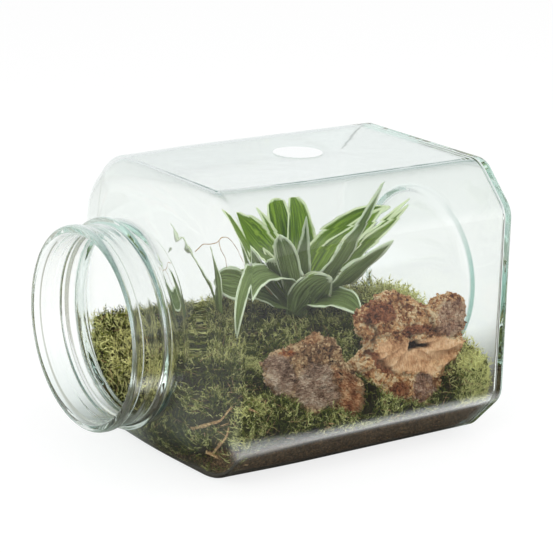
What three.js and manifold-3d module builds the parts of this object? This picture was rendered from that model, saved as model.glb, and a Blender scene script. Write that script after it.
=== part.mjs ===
// A planted glass jar that lies on its side.
// Millimetres, +Z up. +X runs along the jar from its mouth to its base, and -Y is its front.
// The origin is the middle of the jar's footprint, on the surface that it lies on.
import * as THREE from "three";
import { mergeVertices } from "three/addons/utils/BufferGeometryUtils.js";
import Module from "manifold-3d";

// Jar
const JAR_LENGTH = 247;
const JAR_WIDTH = 170;
const CORNER_CUT = 26; // width of the 45 degree cut on the body's long edges, measured along a side
const EDGE_ROUND = 9;
const WALL = 4.2;
const BASE_THICKNESS = 5;

// Neck, from the mouth towards the body
const MOUTH_RADIUS = 55;
const LAND_INNER = 56.2;
const LAND_OUTER = 58.2;
const RIM_RADIUS = 60;
const NECK_RADIUS = 58.3;
const COLLAR_RADIUS = 62;
const COLLAR_AT = 21.4;
const THREAD_START = 8.4;
const THREAD_PITCH = 6.2;
const THREAD_HEIGHT = 1.5;
const THREAD_HALF_WIDTH = 2;
const ROOT_RADIUS = 57;
const ROOT_AT = 26.5;

// Shoulder between neck and body
const SHOULDER_SLOPE = 50; // degrees from the jar's axis
const ROOT_FILLET = 6;
const SHOULDER_FILLET = 14;

// Hollow in the base
const PUNT_RADIUS = 52;
const PUNT_DEPTH = 4.6;

// Filling
const GAP = 0.35; // clearance between pieces that touch
const SOIL_TOP = 25;
const SOIL_FROM = -70; // nearest that the soil comes to the mouth
const MOSS_FROM = -80; // nearest that the moss comes to the mouth
const MOSS_TOP = 61;
const MOSS_AT_FRONT = 49;
const MOSS_STEP = 8; // spacing of the moss's bumps
const CROWN = new THREE.Vector3(42, 19, 64);
const CROWN_RADIUS = 6.5;
const ROOT_DEPTH = 28;

// Blank round label on the middle of the upper side
const LABEL_RADIUS = 15;
const LABEL_Y = 7;
const LABEL_THICKNESS = 0.3;

const MOUTH_X = -JAR_LENGTH / 2;
const HALF = JAR_WIDTH / 2;
const rad = THREE.MathUtils.degToRad;

const wasm = await Module();
wasm.setup();

// Joining and cutting

function toSolid(geometry) {
  const bare = new THREE.BufferGeometry();
  bare.setAttribute("position", geometry.getAttribute("position"));
  if (geometry.index) bare.setIndex(geometry.index);
  const merged = mergeVertices(bare, 1e-4);
  const solid = new wasm.Manifold(
    new wasm.Mesh({
      numProp: 3,
      vertProperties: new Float32Array(merged.attributes.position.array),
      triVerts: new Uint32Array(merged.index.array),
    }),
  );
  return solid.volume() < 0 ? toSolid(flipped(merged)) : solid;
}

function flipped(geometry) {
  const turned = geometry.clone();
  const index = turned.index.array;
  for (let i = 0; i < index.length; i += 3) {
    [index[i + 1], index[i + 2]] = [index[i + 2], index[i + 1]];
  }
  return turned;
}

function toGeometry(solid) {
  const made = solid.getMesh();
  const geometry = new THREE.BufferGeometry();
  geometry.setAttribute("position", new THREE.BufferAttribute(made.vertProperties, 3));
  geometry.setIndex(new THREE.BufferAttribute(made.triVerts, 1));
  geometry.computeVertexNormals();
  return geometry;
}

// The largest body of a solid that cutting has left in several pieces.
function mainBody(solid) {
  return solid.decompose().sort((a, b) => b.volume() - a.volume())[0];
}

const group = new THREE.Group();

function addPiece(name, geometry, material) {
  const mesh = new THREE.Mesh(geometry, material);
  mesh.name = name;
  group.add(mesh);
  return mesh;
}

// Shared surface builder: a closed skin over a row of rings, with a point at each end

function skinOverRings(rings, firstPole, lastPole) {
  const count = rings[0].length;
  const positions = [];
  const faces = [];
  for (const ring of rings) {
    for (const point of ring) positions.push(...point);
  }
  const first = rings.length * count;
  const last = first + 1;
  positions.push(...firstPole, ...lastPole);
  for (let i = 0; i < count; i++) {
    const j = (i + 1) % count;
    const end = (rings.length - 1) * count;
    faces.push(first, j, i);
    faces.push(last, end + i, end + j);
    for (let k = 0; k < rings.length - 1; k++) {
      const a = k * count;
      const b = a + count;
      faces.push(a + i, a + j, b + j, a + i, b + j, b + i);
    }
  }
  const geometry = new THREE.BufferGeometry();
  geometry.setAttribute("position", new THREE.Float32BufferAttribute(positions, 3));
  geometry.setIndex(faces);
  return geometry;
}

// Jar

// Outline of the body across its axis: a square with its corners cut off and its edges rounded.
// An inset moves every side in by the same amount.
function bodyOutline(inset) {
  const half = HALF - inset;
  const cut = CORNER_CUT - inset * (2 - Math.SQRT2);
  const round = Math.max(EDGE_ROUND - inset, 1);
  const reach = half - cut - round * Math.tan(rad(22.5));
  const points = [];
  for (let quarter = 0; quarter < 4; quarter++) {
    const turn = new THREE.Matrix3().makeRotation(quarter * rad(90));
    const edge = [0, 22.5, 45].map((degrees) => [
      half - round + round * Math.cos(rad(degrees)),
      reach + round * Math.sin(rad(degrees)),
    ]);
    const otherEdge = edge.map(([y, z]) => [z, y]).reverse();
    const side = [[half, 0], [half, reach * 0.45]];
    const cutMiddle = [half - cut / 2, half - cut / 2];
    for (const [y, z] of [...side, ...edge, cutMiddle, ...otherEdge, [reach * 0.45, half]]) {
      points.push(new THREE.Vector2(y, z).applyMatrix3(turn));
    }
  }
  return points;
}

// A ring of the jar: square is 0 for a circle of the given radius, 1 for the body's outline.
function jarRing(along, { radius = 0, inset = 0, square = 0, relief = () => 0 }) {
  return bodyOutline(inset).map((corner) => {
    const angle = corner.angle();
    const reach = radius + relief(angle);
    const y = THREE.MathUtils.lerp(reach * Math.cos(angle), corner.x, square);
    const z = THREE.MathUtils.lerp(reach * Math.sin(angle), corner.y, square);
    return [MOUTH_X + along, y, HALF + z];
  });
}

// The shoulder's path, as distance from the mouth, half width and slope, from the neck to the body.
function shoulderPath() {
  const slope = rad(SHOULDER_SLOPE);
  const path = [];
  let along = ROOT_AT;
  let half = ROOT_RADIUS;
  const bend = (radius, from, to, steps) => {
    const sign = to > from ? 1 : -1;
    const along0 = along;
    const half0 = half;
    for (let i = 0; i <= steps; i++) {
      const a = from + ((to - from) * i) / steps;
      along = along0 + sign * radius * (Math.sin(a) - Math.sin(from));
      half = half0 + sign * radius * (Math.cos(from) - Math.cos(a));
      path.push({ along, half, slope: a });
    }
  };
  bend(ROOT_FILLET, 0, slope, 2);
  const straightEnd = HALF - SHOULDER_FILLET * (1 - Math.cos(slope));
  const rise = straightEnd - half;
  const run = rise / Math.tan(slope);
  const start = path[path.length - 1];
  for (const part of [1 / 3, 2 / 3]) {
    path.push({ along: start.along + run * part, half: start.half + rise * part, slope });
  }
  along = start.along + run;
  half = straightEnd;
  bend(SHOULDER_FILLET, slope, 0, 3);
  return path;
}

// Rings of the shoulder's surface, moved in from the outer surface by a wall's depth.
function shoulderRings(depth) {
  const path = shoulderPath();
  const from = path[0].along;
  const to = path[path.length - 1].along;
  return path.map(({ along, half, slope }) => {
    const square = THREE.MathUtils.smoothstep(along, from, to);
    const across = half - depth * Math.cos(slope);
    return jarRing(along + depth * Math.sin(slope), { radius: across, inset: HALF - across, square });
  });
}

// Height of the closure thread above the neck at one place, for a thread of one and a half turns.
function threadRelief(along) {
  return (angle) => {
    let height = 0;
    for (const turn of [0, 1]) {
      const turned = (angle + rad(60)) / (2 * Math.PI);
      const centre = THREAD_START + THREAD_PITCH * ((turned % 1) + turn);
      const off = Math.abs(along - centre) / THREAD_HALF_WIDTH;
      const last = THREAD_START + 1.5 * THREAD_PITCH;
      if (off < 1 && centre < last) height = THREAD_HEIGHT * Math.cos((off * Math.PI) / 2) ** 2;
    }
    return height;
  };
}

function neckRings() {
  const rings = [
    [0, LAND_INNER],
    [0, LAND_OUTER],
    [0.8, RIM_RADIUS - 0.5],
    [2.2, RIM_RADIUS],
    [4.8, RIM_RADIUS],
  ].map(([along, radius]) => jarRing(along, { radius }));
  for (let along = 6.2; along < 18.5; along += 1.3) {
    rings.push(jarRing(along, { radius: NECK_RADIUS, relief: threadRelief(along) }));
  }
  const collar = [
    [COLLAR_AT - 1.6, COLLAR_RADIUS - 1.2],
    [COLLAR_AT, COLLAR_RADIUS],
    [COLLAR_AT + 1.6, COLLAR_RADIUS - 1.2],
    [COLLAR_AT + 3.2, ROOT_RADIUS + 0.9],
  ];
  for (const [along, radius] of collar) rings.push(jarRing(along, { radius }));
  return rings;
}

// Rings of the rounded corner between the sides and the base, and of the base with its hollow.
function baseRings(depth) {
  const round = EDGE_ROUND;
  const end = JAR_LENGTH - (depth > 0 ? BASE_THICKNESS + (depth - WALL) : 0);
  const rings = [];
  for (const step of [0, 1, 2, 3]) {
    const a = rad(30 * step);
    const along = end - round + round * Math.sin(a);
    rings.push(jarRing(along, { inset: depth + round * (1 - Math.cos(a)), square: 1 }));
  }
  const hollow = [
    [0, PUNT_RADIUS],
    [0.3 * PUNT_DEPTH, PUNT_RADIUS - 2.4],
    [0.75 * PUNT_DEPTH, PUNT_RADIUS - 5.5],
    [0.95 * PUNT_DEPTH, PUNT_RADIUS * 0.5],
  ];
  for (const [rise, radius] of hollow) rings.push(jarRing(end - rise, { radius }));
  return { rings, pole: [MOUTH_X + end - PUNT_DEPTH, 0, HALF] };
}

function jarGeometry() {
  const outerBase = baseRings(0);
  const innerBase = baseRings(WALL);
  const outer = [...neckRings(), ...shoulderRings(0), ...outerBase.rings].reverse();
  const inner = [jarRing(1.2, { radius: MOUTH_RADIUS }), ...shoulderRings(WALL)];
  inner[1] = jarRing(ROOT_AT, { radius: MOUTH_RADIUS });
  return skinOverRings([...outer, ...inner, ...innerBase.rings], outerBase.pole, innerBase.pole);
}

// The room that the filling can take: the inside of the jar, clear of the glass all round.
function roomGeometry() {
  const depth = WALL + GAP;
  const base = baseRings(depth);
  const rings = [jarRing(ROOT_AT - 4, { radius: MOUTH_RADIUS - GAP }), ...shoulderRings(depth)];
  rings[1] = jarRing(ROOT_AT, { radius: MOUTH_RADIUS - GAP });
  return skinOverRings([...rings, ...base.rings], [MOUTH_X + ROOT_AT - 4, 0, HALF], base.pole);
}

// Soil and moss

// A smooth pseudo-random value between -1 and 1 from a place and a seed.
function speckle(x, y, seed) {
  const raw = Math.sin(x * 12.9898 + y * 78.233 + seed * 37.719) * 43758.5453;
  return 2 * (raw - Math.floor(raw)) - 1;
}

function hill(x, y, centreX, centreY, reachX, reachY, height) {
  return height * Math.exp(-(((x - centreX) / reachX) ** 2) - ((y - centreY) / reachY) ** 2);
}

function mossHeight(x, y) {
  const towardsFront = THREE.MathUtils.smoothstep(-y, 20, HALF - WALL);
  const towardsMouth = THREE.MathUtils.smoothstep(-x, 70, 80);
  let z = THREE.MathUtils.lerp(MOSS_TOP, MOSS_AT_FRONT, towardsFront);
  z += hill(x, y, 99, -2, 26, 30, 17); // heap behind the right bark
  z += hill(x, y, 108, -66, 12, 14, 6); // tuft at the front of the base end
  z += hill(x, y, -68, 50, 18, 24, 7); // clump at the back of the shoulder
  z += hill(x, y, 10, 62, 60, 20, 4); // rise along the back wall
  z += hill(x, y, CROWN.x - 4, CROWN.y - 20, 28, 16, 3); // cushion in front of the plant's crown
  z = THREE.MathUtils.lerp(z, 42, towardsMouth);
  return z + 1.3 * Math.sin(x / 7 + y / 17) * Math.cos(y / 8 - x / 23) + 1.1 * speckle(x, y, 3);
}

// A block with a flat floor, upright sides and a top that follows a height.
function block(fromX, toX, fromY, toY, step, floor, heightOf) {
  const columns = Math.round((toX - fromX) / step);
  const rows = Math.round((toY - fromY) / step);
  const positions = [];
  const faces = [];
  const top = (i, j) => i * (rows + 1) + j;
  for (let i = 0; i <= columns; i++) {
    for (let j = 0; j <= rows; j++) {
      const x = THREE.MathUtils.lerp(fromX, toX, i / columns);
      const y = THREE.MathUtils.lerp(fromY, toY, j / rows);
      positions.push(x, y, heightOf(x, y));
    }
  }
  for (let i = 0; i < columns; i++) {
    for (let j = 0; j < rows; j++) {
      const [a, b, c, d] = [top(i, j), top(i + 1, j), top(i + 1, j + 1), top(i, j + 1)];
      faces.push(a, b, c, a, c, d);
    }
  }
  const border = [];
  for (let i = 0; i < columns; i++) border.push(top(i, 0));
  for (let j = 0; j < rows; j++) border.push(top(columns, j));
  for (let i = columns; i > 0; i--) border.push(top(i, rows));
  for (let j = rows; j > 0; j--) border.push(top(0, j));
  const floorStart = positions.length / 3;
  for (const at of border) positions.push(positions[at * 3], positions[at * 3 + 1], floor);
  const middle = positions.length / 3;
  positions.push((fromX + toX) / 2, (fromY + toY) / 2, floor);
  border.forEach((at, k) => {
    const next = (k + 1) % border.length;
    const [p, q] = [floorStart + k, floorStart + next];
    faces.push(at, p, q, at, q, border[next], middle, q, p);
  });
  const geometry = new THREE.BufferGeometry();
  geometry.setAttribute("position", new THREE.Float32BufferAttribute(positions, 3));
  geometry.setIndex(faces);
  return geometry;
}

function box(fromX, toX, fromY, toY, fromZ, toZ) {
  const geometry = new THREE.BoxGeometry(toX - fromX, toY - fromY, toZ - fromZ);
  geometry.translate((fromX + toX) / 2, (fromY + toY) / 2, (fromZ + toZ) / 2);
  return geometry;
}

// An upright round post, used for the hole that the plant stands in.
function post(radius, fromZ, toZ, sides) {
  const geometry = new THREE.CylinderGeometry(radius, radius, toZ - fromZ, sides);
  geometry.rotateX(rad(90));
  geometry.translate(CROWN.x, CROWN.y, (fromZ + toZ) / 2);
  return geometry;
}

// Bark

const LEDGE_FROM = -7; // height on the piece from which a ledge stands forward

// Each outline is drawn in the plane of its piece, as [along, up] from the middle,
// and the plane leans back from upright by a few degrees.
const barks = {
  bark_left: {
    middle: [-6.5, -66, 55],
    lean: 18,
    thickness: 10,
    relief: 1.2,
    ledge: 0,
    seed: 5,
    outline: [
      [33, -11], [25, 0], [20, 9], [16, 17], [4, 28], [-6, 23], [-19, 18], [-28, 19],
      [-34, 14], [-34, 2], [-27, -6], [-18, -14], [-7, -22], [4, -18], [14, -22], [22, -27],
      [31, -18],
    ],
  },
  bark_right: {
    middle: [63.5, -60, 62],
    lean: 15,
    thickness: 13,
    relief: 1.7,
    ledge: 3,
    seed: 11,
    outline: [
      [45, 7], [46, 18], [41, 25], [35, 26], [29, 25], [22, 20], [10, 23], [5, 28],
      [-4, 33], [-13, 33], [-25, 27], [-32, 24], [-33, 16], [-29, 9], [-29, 3], [-37, 0],
      [-44, -4], [-38, -11], [-34, -17], [-28, -24], [-20, -28], [-12, -32], [-5, -34], [4, -36],
      [11, -35], [20, -29], [22, -22], [26, -19], [34, -15], [42, -4],
    ],
  },
};

// A rough plate over an outline, whose upper part may stand forward of the lower part as a ledge.
// Grow thickens the plate all round, and forward moves its front face out.
function barkGeometry(bark, grow = 0, forward = 0) {
  const { middle, lean, thickness, relief, ledge, seed, outline } = bark;
  const edge = [];
  outline.forEach((point, k) => {
    const next = outline[(k + 1) % outline.length];
    const here = new THREE.Vector2(...point);
    const halfway = here.clone().lerp(new THREE.Vector2(...next), 0.5);
    halfway.multiplyScalar(1 + 0.025 * speckle(k, seed, 1));
    edge.push(here, halfway);
  });
  const tilt = new THREE.Matrix4().makeRotationX(-rad(lean));
  const place = ([across, up], depth) => {
    const p = new THREE.Vector3(across, depth, up).applyMatrix4(tilt);
    return p.add(new THREE.Vector3(...middle)).toArray();
  };
  const face = (part, side) =>
    edge.map((p, k) => {
      const along = p.x * part;
      const up = p.y * part;
      const rough = relief * speckle(Math.round(along), Math.round(up), seed + side);
      const crown = (thickness / 2) * (part > 0.8 ? 0.8 : 1) + rough;
      const step = p.y * part > LEDGE_FROM ? ledge : 0;
      const depth = side < 0 ? -(crown + step + grow + forward) : crown + grow;
      const spread = 1 + grow / p.length();
      return place([along * spread, up * spread], depth);
    });
  const rim = (depth) =>
    edge.map((p, k) => {
      const spread = 1 + grow / p.length();
      return place([p.x * spread, p.y * spread], depth);
    });
  const rings = [
    ...[0.34, 0.66, 0.9].map((part) => face(part, -1)),
    rim(-thickness * 0.22 - forward),
    rim(thickness * 0.22),
    ...[0.88, 0.5].map((part) => face(part, 1)),
  ];
  const front = place([0, 0], -(thickness / 2 + grow + forward));
  const back = place([0, 0], thickness / 2 + grow);
  return skinOverRings(rings, front, back);
}

// Plant

// Each blade leaves the crown in a heading and rises at a start angle that changes to an end angle.
// Heading 0 points to the jar's base and 90 to its back. Roll turns a blade about its own length,
// and a blunter blade keeps its width nearer to its tip.
const blades = [
  { heading: 119, veer: 0, rise: 78, end: 26, length: 84, width: 21, roll: -55, blunt: 3 },
  { heading: 99, veer: 1, rise: 81, end: 39, length: 73, width: 12, roll: -40, blunt: 2 },
  { heading: 77, veer: -4, rise: 62, end: 44, length: 84, width: 14, roll: -20, blunt: 5 },
  { heading: 45, veer: 26, rise: 85, end: 10, length: 96, width: 20, roll: 0, blunt: 3 },
  { heading: 7, veer: -12, rise: 88, end: 5, length: 97, width: 22, roll: 45, blunt: 3 },
  { heading: -12, veer: 0, rise: 71, end: 32, length: 85, width: 21, roll: 55, blunt: 2.5 },
  { heading: -90, veer: 62, rise: 42, end: 71, length: 107, width: 18, roll: -75, blunt: 1.4 },
  { heading: -46, veer: 3, rise: 52, end: 47, length: 97, width: 16, roll: 60, blunt: 2 },
  { heading: -33, veer: 30, rise: 60, end: 32, length: 99, width: 12, roll: 40, blunt: 1.5 },
  { heading: -58, veer: 0, rise: 43, end: 44, length: 80, width: 16, roll: -70, blunt: 3 },
  { heading: -85, veer: -24, rise: 60, end: -28, length: 75, width: 17, roll: 50, blunt: 2.5 },
  { heading: -100, veer: 12, rise: 68, end: 25, length: 48, width: 26, roll: -75, blunt: 3 },
  { heading: -152, veer: 8, rise: 68, end: 44, length: 73, width: 19, roll: 22, blunt: 6 },
  { heading: -170, veer: -5, rise: 73, end: 17, length: 55, width: 28, roll: 55, blunt: 3 },
  { heading: 166, veer: -4, rise: 41, end: 10, length: 78, width: 30, roll: -60, blunt: 5 },
  { heading: -172, veer: 38, rise: 76, end: -62, length: 104, width: 13, roll: -40, blunt: 2.5 },
  { heading: 147, veer: 4, rise: 40, end: 68, length: 60, width: 15, roll: -60, blunt: 2.5 },
  { heading: 128, veer: 0, rise: 68, end: 55, length: 46, width: 11, roll: -50, blunt: 3 },
  { heading: -112, veer: -10, rise: 84, end: 66, length: 70, width: 13, roll: 8, blunt: 2 },
  { heading: 62, veer: 0, rise: 52, end: 0, length: 58, width: 16, roll: 0, blunt: 3 },
  { heading: 98, veer: 10, rise: 46, end: -6, length: 56, width: 16, roll: 0, blunt: 3 },
  { heading: 24, veer: -10, rise: 46, end: -10, length: 60, width: 16, roll: 0, blunt: 3 },
];
const BLADE_THICKNESS = 0.8;
const BLADE_ROWS = 9;
const BLADE_START = 2; // distance of a blade's root from the crown's middle
const BLADE_FOLD = 0.22; // rise of a blade's edges above its midrib, as a share of half its width
const WAVE_HEIGHT = 1.5;
const WAVE_LENGTH = 32;
const ACROSS = [-1, 0, 1];

// Share of a blade's full width at a share of its length, from a narrow root to the tip.
function bladeWidth(t, blunt) {
  const swell = 0.65 + 0.35 * THREE.MathUtils.smoothstep(t, 0, 0.45);
  return swell * Math.max(1 - t ** blunt, 0) + 0.06;
}

function bladeGeometry(blade, number) {
  const { heading, veer, rise, end, length, width, roll, blunt } = blade;
  const rings = [];
  const turn = rad(heading);
  const middle = CROWN.clone();
  middle.add(new THREE.Vector3(Math.cos(turn), Math.sin(turn), 0).multiplyScalar(BLADE_START));
  for (let row = 0; row <= BLADE_ROWS; row++) {
    const t = row / BLADE_ROWS;
    const way = rad(heading + veer * t);
    const up = rad(rise + (end - rise) * t);
    const forward = new THREE.Vector3(
      Math.cos(up) * Math.cos(way),
      Math.cos(up) * Math.sin(way),
      Math.sin(up),
    );
    if (row > 0) middle.addScaledVector(forward, length / BLADE_ROWS);
    const side = new THREE.Vector3(-Math.sin(way), Math.cos(way), 0);
    side.applyAxisAngle(forward, rad(roll * t));
    const face = new THREE.Vector3().crossVectors(forward, side);
    const half = (width / 2) * bladeWidth(t, blunt);
    const point = (across, lift) => {
      const phase = (2 * Math.PI * length * t) / WAVE_LENGTH + number + (across < 0 ? 2 : 0);
      const wave = WAVE_HEIGHT * across ** 2 * Math.sin(phase) * Math.sin(Math.PI * t);
      const p = middle.clone();
      p.addScaledVector(side, across * half);
      p.addScaledVector(face, Math.abs(across) * half * BLADE_FOLD + wave + lift);
      return p.toArray();
    };
    const lower = ACROSS.map((across) => point(across, -BLADE_THICKNESS / 2));
    const upper = ACROSS.map((across) => point(across, BLADE_THICKNESS / 2)).reverse();
    rings.push([...lower, ...upper]);
  }
  return bladeSkin(rings);
}

// Closes the rows of a blade, with the same diagonals on its two faces.
function bladeSkin(rings) {
  const count = rings[0].length;
  const wide = ACROSS.length;
  const positions = rings.flat(2);
  const faces = [];
  for (let k = 0; k < rings.length - 1; k++) {
    for (let i = 0; i < count; i++) {
      const j = (i + 1) % count;
      const [a, b, c, d] = [k * count + i, k * count + j, (k + 1) * count + j, (k + 1) * count + i];
      if (i < wide) faces.push(a, b, c, a, c, d);
      else faces.push(a, b, d, b, c, d);
    }
  }
  for (const [at, front] of [[0, true], [(rings.length - 1) * count, false]]) {
    for (let i = 0; i < wide - 1; i++) {
      const [a, b] = [at + i, at + i + 1];
      const [c, d] = [at + count - 2 - i, at + count - 1 - i];
      const quad = [a, d, c, a, c, b];
      faces.push(...(front ? quad : quad.reverse()));
    }
  }
  const geometry = new THREE.BufferGeometry();
  geometry.setAttribute("position", new THREE.Float32BufferAttribute(positions, 3));
  geometry.setIndex(faces);
  return geometry;
}

// The crown and the root stub below it, which stands in a plain hole in moss and soil.
function crownGeometry() {
  const profile = [
    [0, CROWN.z - ROOT_DEPTH],
    [CROWN_RADIUS * 0.7, CROWN.z - ROOT_DEPTH],
    [CROWN_RADIUS, CROWN.z - 4],
    [CROWN_RADIUS, CROWN.z + 2],
    [CROWN_RADIUS * 0.55, CROWN.z + 7],
    [0, CROWN.z + 7],
  ];
  const geometry = new THREE.LatheGeometry(profile.map(([r, z]) => new THREE.Vector2(r, z)), 12);
  geometry.rotateX(rad(90));
  geometry.translate(CROWN.x, CROWN.y, 0);
  return geometry;
}

// Straws and twigs

// Each lies against the glass at the front of the shoulder, half sunk in the moss and soil.
const STRAW_RADIUS = 0.8;
const straws = {
  straw_upper: [[-79.7, -51.3, 35.3], [-77.1, -61.6, 39.7], [-73.5, -69.4, 43.1], [-70.3, -75.2, 52]],
  straw_middle: [[-71, -60.4, 20.9], [-71.3, -71.5, 32.9], [-70.5, -73.8, 39.5]],
  straw_long: [[-73.5, -53.8, 21], [-68.6, -62.9, 17], [-55.9, -58.5, 7.4]],
};

function strawGeometry(route, grow = 0) {
  const points = route.map((p) => new THREE.Vector3(...p));
  const lengthen = (end, next) => end.addScaledVector(end.clone().sub(next).normalize(), grow);
  lengthen(points[0], points[1].clone());
  lengthen(points.at(-1), points.at(-2).clone());
  const path = new THREE.CatmullRomCurve3(points);
  const radius = STRAW_RADIUS + grow;
  const corners = [0, 60, 120, 180, 240, 300].map(
    (degrees) => new THREE.Vector2(radius * Math.cos(rad(degrees)), radius * Math.sin(rad(degrees))),
  );
  return new THREE.ExtrudeGeometry(new THREE.Shape(corners), {
    steps: 6,
    bevelEnabled: false,
    extrudePath: path,
  });
}

// Materials

const clearGlass = new THREE.MeshStandardMaterial({
  color: "#cfe6df", roughness: 0.03, metalness: 0, transparent: true, opacity: 0.35,
});
const dryStraw = new THREE.MeshStandardMaterial({ color: "#a9804f", roughness: 0.85, metalness: 0 });
const darkSoil = new THREE.MeshStandardMaterial({ color: "#2b2119", roughness: 0.95, metalness: 0 });
const greenMoss = new THREE.MeshStandardMaterial({ color: "#5f6f2e", roughness: 0.9, metalness: 0 });
const greyBark = new THREE.MeshStandardMaterial({ color: "#8a7663", roughness: 0.9, metalness: 0 });
const tanBark = new THREE.MeshStandardMaterial({ color: "#b98d64", roughness: 0.9, metalness: 0 });
const leafGreen = new THREE.MeshStandardMaterial({ color: "#5d7d45", roughness: 0.5, metalness: 0 });
const whitePaper = new THREE.MeshStandardMaterial({ color: "#f6f6f4", roughness: 0.7, metalness: 0 });

// Assembly

addPiece("glass_jar", toGeometry(toSolid(jarGeometry())), clearGlass);

const room = toSolid(roomGeometry());
const hole = toSolid(post(CROWN_RADIUS + GAP, CROWN.z - ROOT_DEPTH - GAP, 2 * MOSS_TOP, 12));

const endX = MOUTH_X + JAR_LENGTH;
let soil = toSolid(box(SOIL_FROM, endX, -HALF, HALF, -1, SOIL_TOP)).intersect(room).subtract(hole);
const mossOverSoil = toSolid(
  block(MOSS_FROM, endX, -HALF, HALF, MOSS_STEP, SOIL_TOP + GAP, mossHeight),
);
const mossInShoulder = toSolid(box(MOSS_FROM, SOIL_FROM - GAP, -HALF, HALF, -1, SOIL_TOP + 1));
let moss = mossOverSoil.add(mossInShoulder).intersect(room).subtract(hole);
for (const bark of Object.values(barks)) {
  moss = moss.subtract(toSolid(barkGeometry(bark, 2 * GAP, 40)));
}
for (const route of Object.values(straws)) {
  const groove = toSolid(strawGeometry(route, GAP));
  moss = moss.subtract(groove);
  soil = soil.subtract(groove);
}
addPiece("soil_bed", toGeometry(mainBody(soil)), darkSoil);
addPiece("moss", toGeometry(mainBody(moss)), greenMoss);

for (const [name, route] of Object.entries(straws)) {
  addPiece(name, toGeometry(toSolid(strawGeometry(route))), dryStraw);
}

for (const [name, bark] of Object.entries(barks)) {
  const material = name === "bark_left" ? greyBark : tanBark;
  addPiece(name, toGeometry(toSolid(barkGeometry(bark))), material);
}

const plant = blades.reduce(
  (joined, blade, number) => joined.add(toSolid(bladeGeometry(blade, number))),
  toSolid(crownGeometry()),
);
addPiece("plant", toGeometry(mainBody(plant)), leafGreen);

const label = new THREE.CylinderGeometry(LABEL_RADIUS, LABEL_RADIUS, LABEL_THICKNESS, 32);
label.rotateX(rad(90));
const labelX = MOUTH_X + (ROOT_AT + 33 + JAR_LENGTH) / 2;
label.translate(labelX, LABEL_Y, JAR_WIDTH + LABEL_THICKNESS / 2);
addPiece("round_label", label, whitePaper);

export default group;
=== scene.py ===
# %% [markdown]
# A planted glass jar
#
# A square jar of clear glass lies on one of its flat sides, with its mouth open at the left. In it are a bed
# of dark soil, a carpet of moss, two chunks of bark, some loose straws, and one rosette of broad leaves with
# cream margins. The solid model gives every piece its place and size. This script gives each piece the finer
# form and the finish that the eye expects, and leaves the solid model itself as it is.

# %% Load the solid model
import math
import random

import bmesh
import bpy
import numpy as np
from mathutils import Matrix, Vector, noise


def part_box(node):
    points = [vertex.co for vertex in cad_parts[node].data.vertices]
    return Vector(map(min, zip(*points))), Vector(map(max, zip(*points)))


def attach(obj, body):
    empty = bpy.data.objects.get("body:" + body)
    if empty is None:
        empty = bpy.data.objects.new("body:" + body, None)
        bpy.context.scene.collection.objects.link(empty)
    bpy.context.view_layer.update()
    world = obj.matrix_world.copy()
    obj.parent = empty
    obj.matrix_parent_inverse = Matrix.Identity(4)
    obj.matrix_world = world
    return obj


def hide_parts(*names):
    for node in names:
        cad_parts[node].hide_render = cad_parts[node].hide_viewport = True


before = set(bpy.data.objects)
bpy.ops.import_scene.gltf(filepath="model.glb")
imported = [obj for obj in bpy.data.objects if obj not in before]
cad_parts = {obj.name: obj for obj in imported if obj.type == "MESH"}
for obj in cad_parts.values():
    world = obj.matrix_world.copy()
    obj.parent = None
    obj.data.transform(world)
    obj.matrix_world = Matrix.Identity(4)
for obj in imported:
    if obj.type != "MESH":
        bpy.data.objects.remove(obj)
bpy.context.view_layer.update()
MM = 0.001  # lengths below are in millimetres, and every mesh is in metres

# %% [markdown]
# Camera
#
# The jar is seen from its front left corner and a little from above, with a long lens. The camera's place was
# worked out from the round mouth, the collar and the flat base, whose true shapes are known. It is set with a
# matrix made of its right, up and back directions, because that takes the small tilt of the horizon exactly.

# %% Set the camera
HEADING = math.radians(-35.27)
HEIGHT_ANGLE = math.radians(16.09)
ROLL = math.radians(1.54)
CAMERA_PLACE = Vector((-742.733, -1066.706, 473.830))
LENS, SENSOR = 147.26, 36
back = Vector((
    math.sin(HEADING) * math.cos(HEIGHT_ANGLE),
    -math.cos(HEADING) * math.cos(HEIGHT_ANGLE),
    math.sin(HEIGHT_ANGLE),
))
level_right = Vector((math.cos(HEADING), math.sin(HEADING), 0))
level_up = back.cross(level_right)
right = level_right * math.cos(ROLL) + level_up * math.sin(ROLL)
up = level_up * math.cos(ROLL) - level_right * math.sin(ROLL)
camera = bpy.data.objects.new("camera", bpy.data.cameras.new("camera"))
camera.data.lens = LENS
camera.data.sensor_width = SENSOR
place = Matrix((right, up, back)).transposed().to_4x4()
place.translation = CAMERA_PLACE * MM
camera.matrix_world = place
bpy.context.scene.collection.objects.link(camera)
bpy.context.scene.camera = camera
print("camera stands", round(place.translation.length, 3), "m from the jar")

# %% [markdown]
# Nodes and colours
#
# Colours are written as the hex values that a colour picker shows, and one function turns them to the linear
# values that the renderer works with. One more function adds a node, its settings and its links in one line,
# which keeps each finish short enough to read as a recipe.

# %% Helpers for finishes
def linear(hex_colour):
    parts = [int(hex_colour[start:start + 2], 16) / 255 for start in (1, 3, 5)]
    return [part / 12.92 if part <= 0.04045 else ((part + 0.055) / 1.055) ** 2.4 for part in parts] + [1]


def add(tree, kind, settings=None, links=None):
    node = tree.nodes.new("ShaderNode" + kind)
    for key, value in (settings or {}).items():
        if key == "stops":
            ramp = node.color_ramp
            while len(ramp.elements) < len(value):
                ramp.elements.new(0.5)
            for stop, (at, colour) in zip(ramp.elements, value):
                stop.position = at
                stop.color = linear(colour)
        elif isinstance(key, int) or key in node.inputs:
            node.inputs[key].default_value = value
        else:
            setattr(node, key, value)
    for key, source in (links or {}).items():
        if isinstance(source, bpy.types.Node):  # a node stands for its first output in use
            source = next(output for output in source.outputs if output.enabled)
        tree.links.new(source, node.inputs[key])
    return node


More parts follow.
